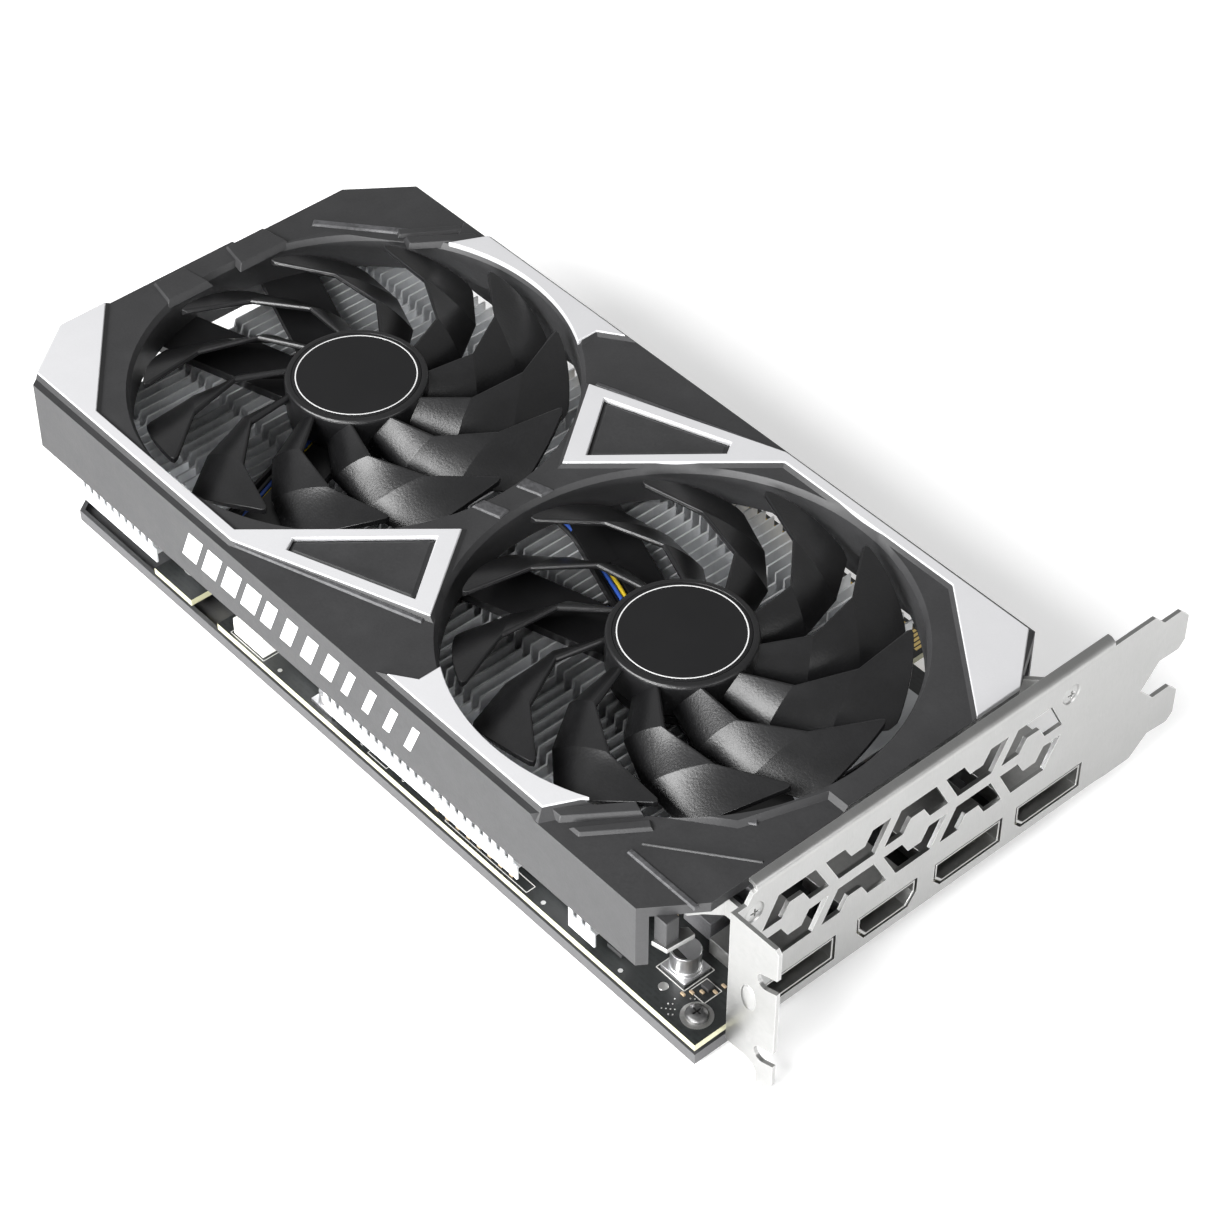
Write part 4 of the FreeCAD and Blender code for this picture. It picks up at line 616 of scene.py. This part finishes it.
def build_leads(side):
    for row, colour in enumerate(LEAD_COLOURS):
        curve = bpy.data.curves.new(f"{side}_lead_{row}", "CURVE")
        curve.dimensions = "3D"
        curve.bevel_depth = LEAD_RADIUS * MM
        curve.bevel_resolution = 4
        curve.use_fill_caps = True
        spline = curve.splines.new("NURBS")
        route = LEAD_ROUTES[side]
        spline.points.add(len(route) - 1)
        for point, (spot, step) in zip(spline.points, route):
            point.co = (*at(*(u + row * v for u, v in zip(spot, step))), 1.0)
        spline.order_u = 3
        spline.use_endpoint_u = True
        spline.resolution_u = 10
        lead = bpy.data.objects.new(f"{side}_lead_{colour}", curve)
        bpy.context.scene.collection.objects.link(lead)
        paint(lead, EXTRA.get(colour, FINISHES["lead_sleeve"]))
        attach(lead, "card")
        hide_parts(side + "_fan_leads")


# ---------------------------------------------------------------- shroud
SLOPE_START_LEVEL = 33.55
SLOPE_LEAST, SLOPE_MOST = 0.2, 0.93


def build_shroud():
    """The moulded shell; the slopes round its painted trims and frames have a coarser texture."""
    tool = welded("shroud")
    slope_start = at(0, 0, SLOPE_START_LEVEL).z
    for face in tool.faces:
        face.normal_update()
        on_top = face.calc_center_median().z > slope_start
        if on_top and SLOPE_LEAST < abs(face.normal.z) < SLOPE_MOST:
            face.material_index = 1
    shell = new_piece("shroud_shell", tool, FINISHES["shroud_plastic"], "card",
                      ("shroud",), 30)
    shell.data.materials.append(EXTRA["textured"])
    soften(shell, 0.3, 25, 2)


# Details on the shroud's top: plan outline, levels of the foot and the top, lean of the sides,
# and whether a copy turned by half a turn is made as well.
TEXTURE_BARS = (
    ([(-110.6, 31.6), (-104.0, 33.6), (-104.6, 36.9), (-110.4, 34.9)], 34.4, 35.0, 0.3, True),
    (bar((-23.0, -4.3), (-4.9, -4.3), 1.5), 33.4, 34.0, 0.25, False),
    (bar((-16.2, 14.6), (-12.6, 17.6), 1.5), 33.4, 34.0, 0.25, False),
    (bar((-204.6, 64.6), (-187.8, 78.7), 2.3), 33.4, 34.1, 0.4, False),
    (bar((-132.5, -10.0), (-91.5, 4.2), 1.6), 34.2, 35.05, 0.35, True),
)
RIDGES = (
    (bar((-22.8, -1.6), (-5.0, 12.0), 0.9), 33.4, 33.9, 0.35, False),
    ([(-40.2, -9.4), (-36.2, -9.4), (-27.0, 3.2), (-30.4, 4.4)], 33.5, 34.9, 0.6, True),
    ([(-34.2, -9.0), (-31.4, -9.0), (-23.4, 2.2), (-25.8, 3.6)], 33.5, 34.3, 0.5, True),
    ([(-209.4, 44.0), (-201.0, 42.5), (-201.0, 56.5), (-209.4, 55.0)], 33.6, 35.2, 0.9, False),
    ([(-209.4, 25.0), (-201.0, 23.5), (-201.0, 35.5), (-209.4, 34.0)], 33.6, 35.2, 0.9, False),
    ([(-183.0, 89.4), (-176.0, 89.4), (-172.5, 84.5), (-179.5, 84.5)], 33.6, 34.6, 0.5, False),
)
DETAIL_EDGE = 0.15


def build_shroud_details():
    """Ridges, textured bars and crease lines that stand on the shroud's top."""
    for name, rows, material in (("shroud_ridges", RIDGES, FINISHES["shroud_plastic"]),
                                 ("shroud_texture_bars", TEXTURE_BARS, EXTRA["textured"])):
        tool = bmesh.new()
        for points, low, high, lean, has_copy in rows:
            raised(tool, points, low, high, lean)
            if has_copy:
                raised(tool, turned_half(points), low, high, lean)
        soften(new_piece(name, tool, material), DETAIL_EDGE)


def build_bracket_corner():
    """The support post and bent sheet under the shroud's open corner, and the mark on a can's top."""
    post = raised(bmesh.new(), [(-10.3, -9.6), (-7.1, -9.6), (-7.1, -6.4), (-10.3, -6.4)], 24.3, 31.3)
    soften(new_piece("corner_post", post, FINISHES["shroud_plastic"]), 0.2)
    sheet = raised(bmesh.new(), [(-9.9, -10.6), (-6.5, -9.9), (-5.9, -3.6), (-8.0, -3.4), (-9.6, -5.6)],
                   24.2, 25.3)
    soften(new_piece("corner_sheet", sheet, FINISHES["nickel_steel"]), 0.15)
    can_x, can_y, mark_radius, level = -16.4, 4.2, 2.6, 5.8
    arc = [(can_x + mark_radius * math.cos(math.radians(a)), can_y + mark_radius * math.sin(math.radians(a)))
           for a in range(205, 326, 10)]
    mark = raised(bmesh.new(), arc, level - 0.02, level + 0.02)
    new_piece("can_mark", mark, EXTRA["dark_wall"])


def build_side_marks():
    """A plain row of slanted bars on the near wall."""
    tool = bmesh.new()
    wall, proud = -12.44, 0.03
    low, high, slant = 23.0, 30.6, 3.2
    start, pitch = -148.0, 6.4
    for index in range(12):
        wide = 4.6 if index < 4 else 3.4 if index < 8 else 2.0
        x = start + index * pitch
        corners = [(x, low), (x + wide, low), (x + wide + slant, high), (x + slant, high)]
        front = [tool.verts.new(at(u, wall - proud, v)) for u, v in corners]
        back = [tool.verts.new(at(u, wall + proud, v)) for u, v in corners]
        tool.faces.new(front)
        tool.faces.new(back)
        for i in range(4):
            j = (i + 1) % 4
            tool.faces.new((front[i], front[j], back[j], back[i]))
    new_piece("side_bars", tool, EXTRA["side_print"])


# ---------------------------------------------------------------- fasteners
SCREW_STEPS = 48
HEAD_PROFILE = ((1.0, 0.0), (1.0, 0.35), (0.96, 0.6), (0.80, 0.86), (0.55, 1.0))
CROWN_SHARE, RECESS_FLOOR = 0.5, 0.35
CROSS_TOP, CROSS_FLOOR = (0.13, 0.36), (0.08, 0.30)


def screw_ring(tool, spot, turn, reach, level):
    """Add a ring of corners at a level; reach gives the ring's radius at each angle."""
    ring = []
    for step in range(SCREW_STEPS):
        angle = 2 * math.pi * step / SCREW_STEPS
        radius = reach(angle)
        point = Vector((radius * math.cos(angle), radius * math.sin(angle), level))
        ring.append(tool.verts.new(spot + turn @ point * MM))
    return ring


def add_cross_screw(tool, spot, toward, radius, height, dome):
    """Add a domed screw head with a cross recess, on a foot point, facing a direction."""
    turn = Vector((0, 0, 1)).rotation_difference(Vector(toward)).to_matrix()

    def circle(share):
        return lambda angle: radius * share

    def cross(shares):
        waist, arms = shares
        return lambda angle: radius * (waist + arms * abs(math.cos(2 * angle)) ** 3)

    crown = height + dome
    rings = [screw_ring(tool, spot, turn, circle(share), height * rise) for share, rise in HEAD_PROFILE]
    rings.append(screw_ring(tool, spot, turn, circle(CROWN_SHARE), crown))
    rings.append(screw_ring(tool, spot, turn, cross(CROSS_TOP), crown))
    rings.append(screw_ring(tool, spot, turn, cross(CROSS_FLOOR), height * RECESS_FLOOR))
    for here, there in zip(rings, rings[1:]):
        for i in range(SCREW_STEPS):
            j = (i + 1) % SCREW_STEPS
            tool.faces.new((here[i], here[j], there[j], there[i]))
    tool.faces.new(rings[0])
    tool.faces.new(rings[-1])


BOARD_SCREWS = ((-6.8, -1.7), (-163.5, 0.6), (-163.5, 84.0), (-22.0, 87.0))
BRACKET_SCREWS = (5.09, 86.83)


def build_screws():
    board = bmesh.new()
    for x, y in BOARD_SCREWS:
        add_cross_screw(board, at(x, y, 0.1), (0, 0, 1), 2.3, 1.2, 0.08)
        turned(board, x, y, [(1.24, -4.1), (1.24, 0.12), (0.4, 0.12), (0.4, -4.1)], 32)
    new_piece("board_screw_heads", board, FINISHES["black_screw"], "card", ("board_screws",))
    bracket = bmesh.new()
    for y in BRACKET_SCREWS:
        add_cross_screw(bracket, at(-0.55, y, 29.64), (1, 0, 0), 2.25, 0.5, 0.05)
    new_piece("bracket_screw_heads", bracket, FINISHES["nickel_steel"], "card",
              ("bracket_screws",))


# ---------------------------------------------------------------- board prints
PRINT_WIDTH, PRINT_SKIN, PAD_SKIN = 0.16, 0.02, 0.03
PRINTED_FRAMES = (
    # x and y of one corner, x and y of the opposite corner
    (-143.4, -6.1, -132.3, 0.9), (-159.0, 0.6, -145.0, 14.0), (-20.3, 0.4, -12.6, 8.0),
    (-12.0, 1.2, -8.0, 5.6), (-98.4, -6.0, -92.6, -2.4), (-74.4, -6.0, -50.0, -3.8),
)
VIA_COUNT, VIA_START, VIA_STEP = 26, (-12.4, -5.4), (0.62, 0.55)
FIDUCIAL = (-16.0, -1.7)
EDGE_PADS, EDGE_PAD_Y = (-24.0, -46.0, -88.0, -101.0, -128.0), -5.2


def add_pad(tool, x, y, radius, top_radius, steps):
    turned(tool, x, y, [(0.0, 0.0), (radius, 0.0), (top_radius, PAD_SKIN), (0.0, PAD_SKIN)], steps)


def build_board_prints():
    """Outlines printed round the parts on the board, probe pads and small through holes."""
    prints = bmesh.new()
    for x0, y0, x1, y1 in PRINTED_FRAMES:
        frame_corners = [(x0, y0), (x1, y0), (x1, y1), (x0, y1)]
        for i in range(4):
            line = bar(frame_corners[i], frame_corners[(i + 1) % 4], PRINT_WIDTH)
            raised(prints, line, 0.0, PRINT_SKIN)
    new_piece("board_prints", prints, EXTRA["board_print"])
    pads = bmesh.new()
    for index in range(VIA_COUNT):
        x = VIA_START[0] + (index * 7 % 11) * VIA_STEP[0]
        y = VIA_START[1] + (index * 5 % 13) * VIA_STEP[1]
        add_pad(pads, x, y, 0.16, 0.14, 10)
    add_pad(pads, *FIDUCIAL, 1.0, 0.97, 32)
    for x in EDGE_PADS:
        add_pad(pads, x, EDGE_PAD_Y, 0.5, 0.48, 20)
    new_piece("board_pads", pads, FINISHES["tin"])


# ---------------------------------------------------------------- the scene
REFINED = {
    # CAD node: width of its rounded edges in millimetres
    "near_trim": 0.18, "far_trim": 0.18, "crescent_trims": 0.18, "triangle_inlays": 0.15,
    "slot_bracket": 0.14, "bracket_tabs": 0.1, "backplate": 0.2, "front_fan_frame": 0.25,
    "rear_fan_frame": 0.25, "power_connector": 0.12, "fan_header": 0.1, "fan_plug": 0.12,
    "can_capacitors": 0.12, "memory_chips": 0.06, "power_chokes": 0.15, "power_switches": 0.05,
    "support_chips": 0.05, "chip_capacitors": 0.04, "wide_port_shells": 0.1, "narrow_port_shell": 0.1,
    "wide_port_tongues": 0.06, "narrow_port_tongue": 0.06, "cooler_base_plate": 0.1, "cold_plate": 0.1,
    "spring_bracket": 0.1, "fan_frame_screws": 0.1, "cooler_screws": 0.1, "power_pins": 0.1,
    "processor_package": 0.05,
}

build_camera()
build_lights()
build_floor()
for node, piece in frame["nodes"].items():
    paint(piece, FINISHES[SLOT_OF[node]])
for node, width in REFINED.items():
    refined(node, width)
for side in FAN_X:
    build_impeller(side)
    build_hub_disc(side)
    build_leads(side)
build_lead_cover()
build_shroud()
build_shroud_details()
build_bracket_corner()
build_side_marks()
build_screws()
build_board_prints()
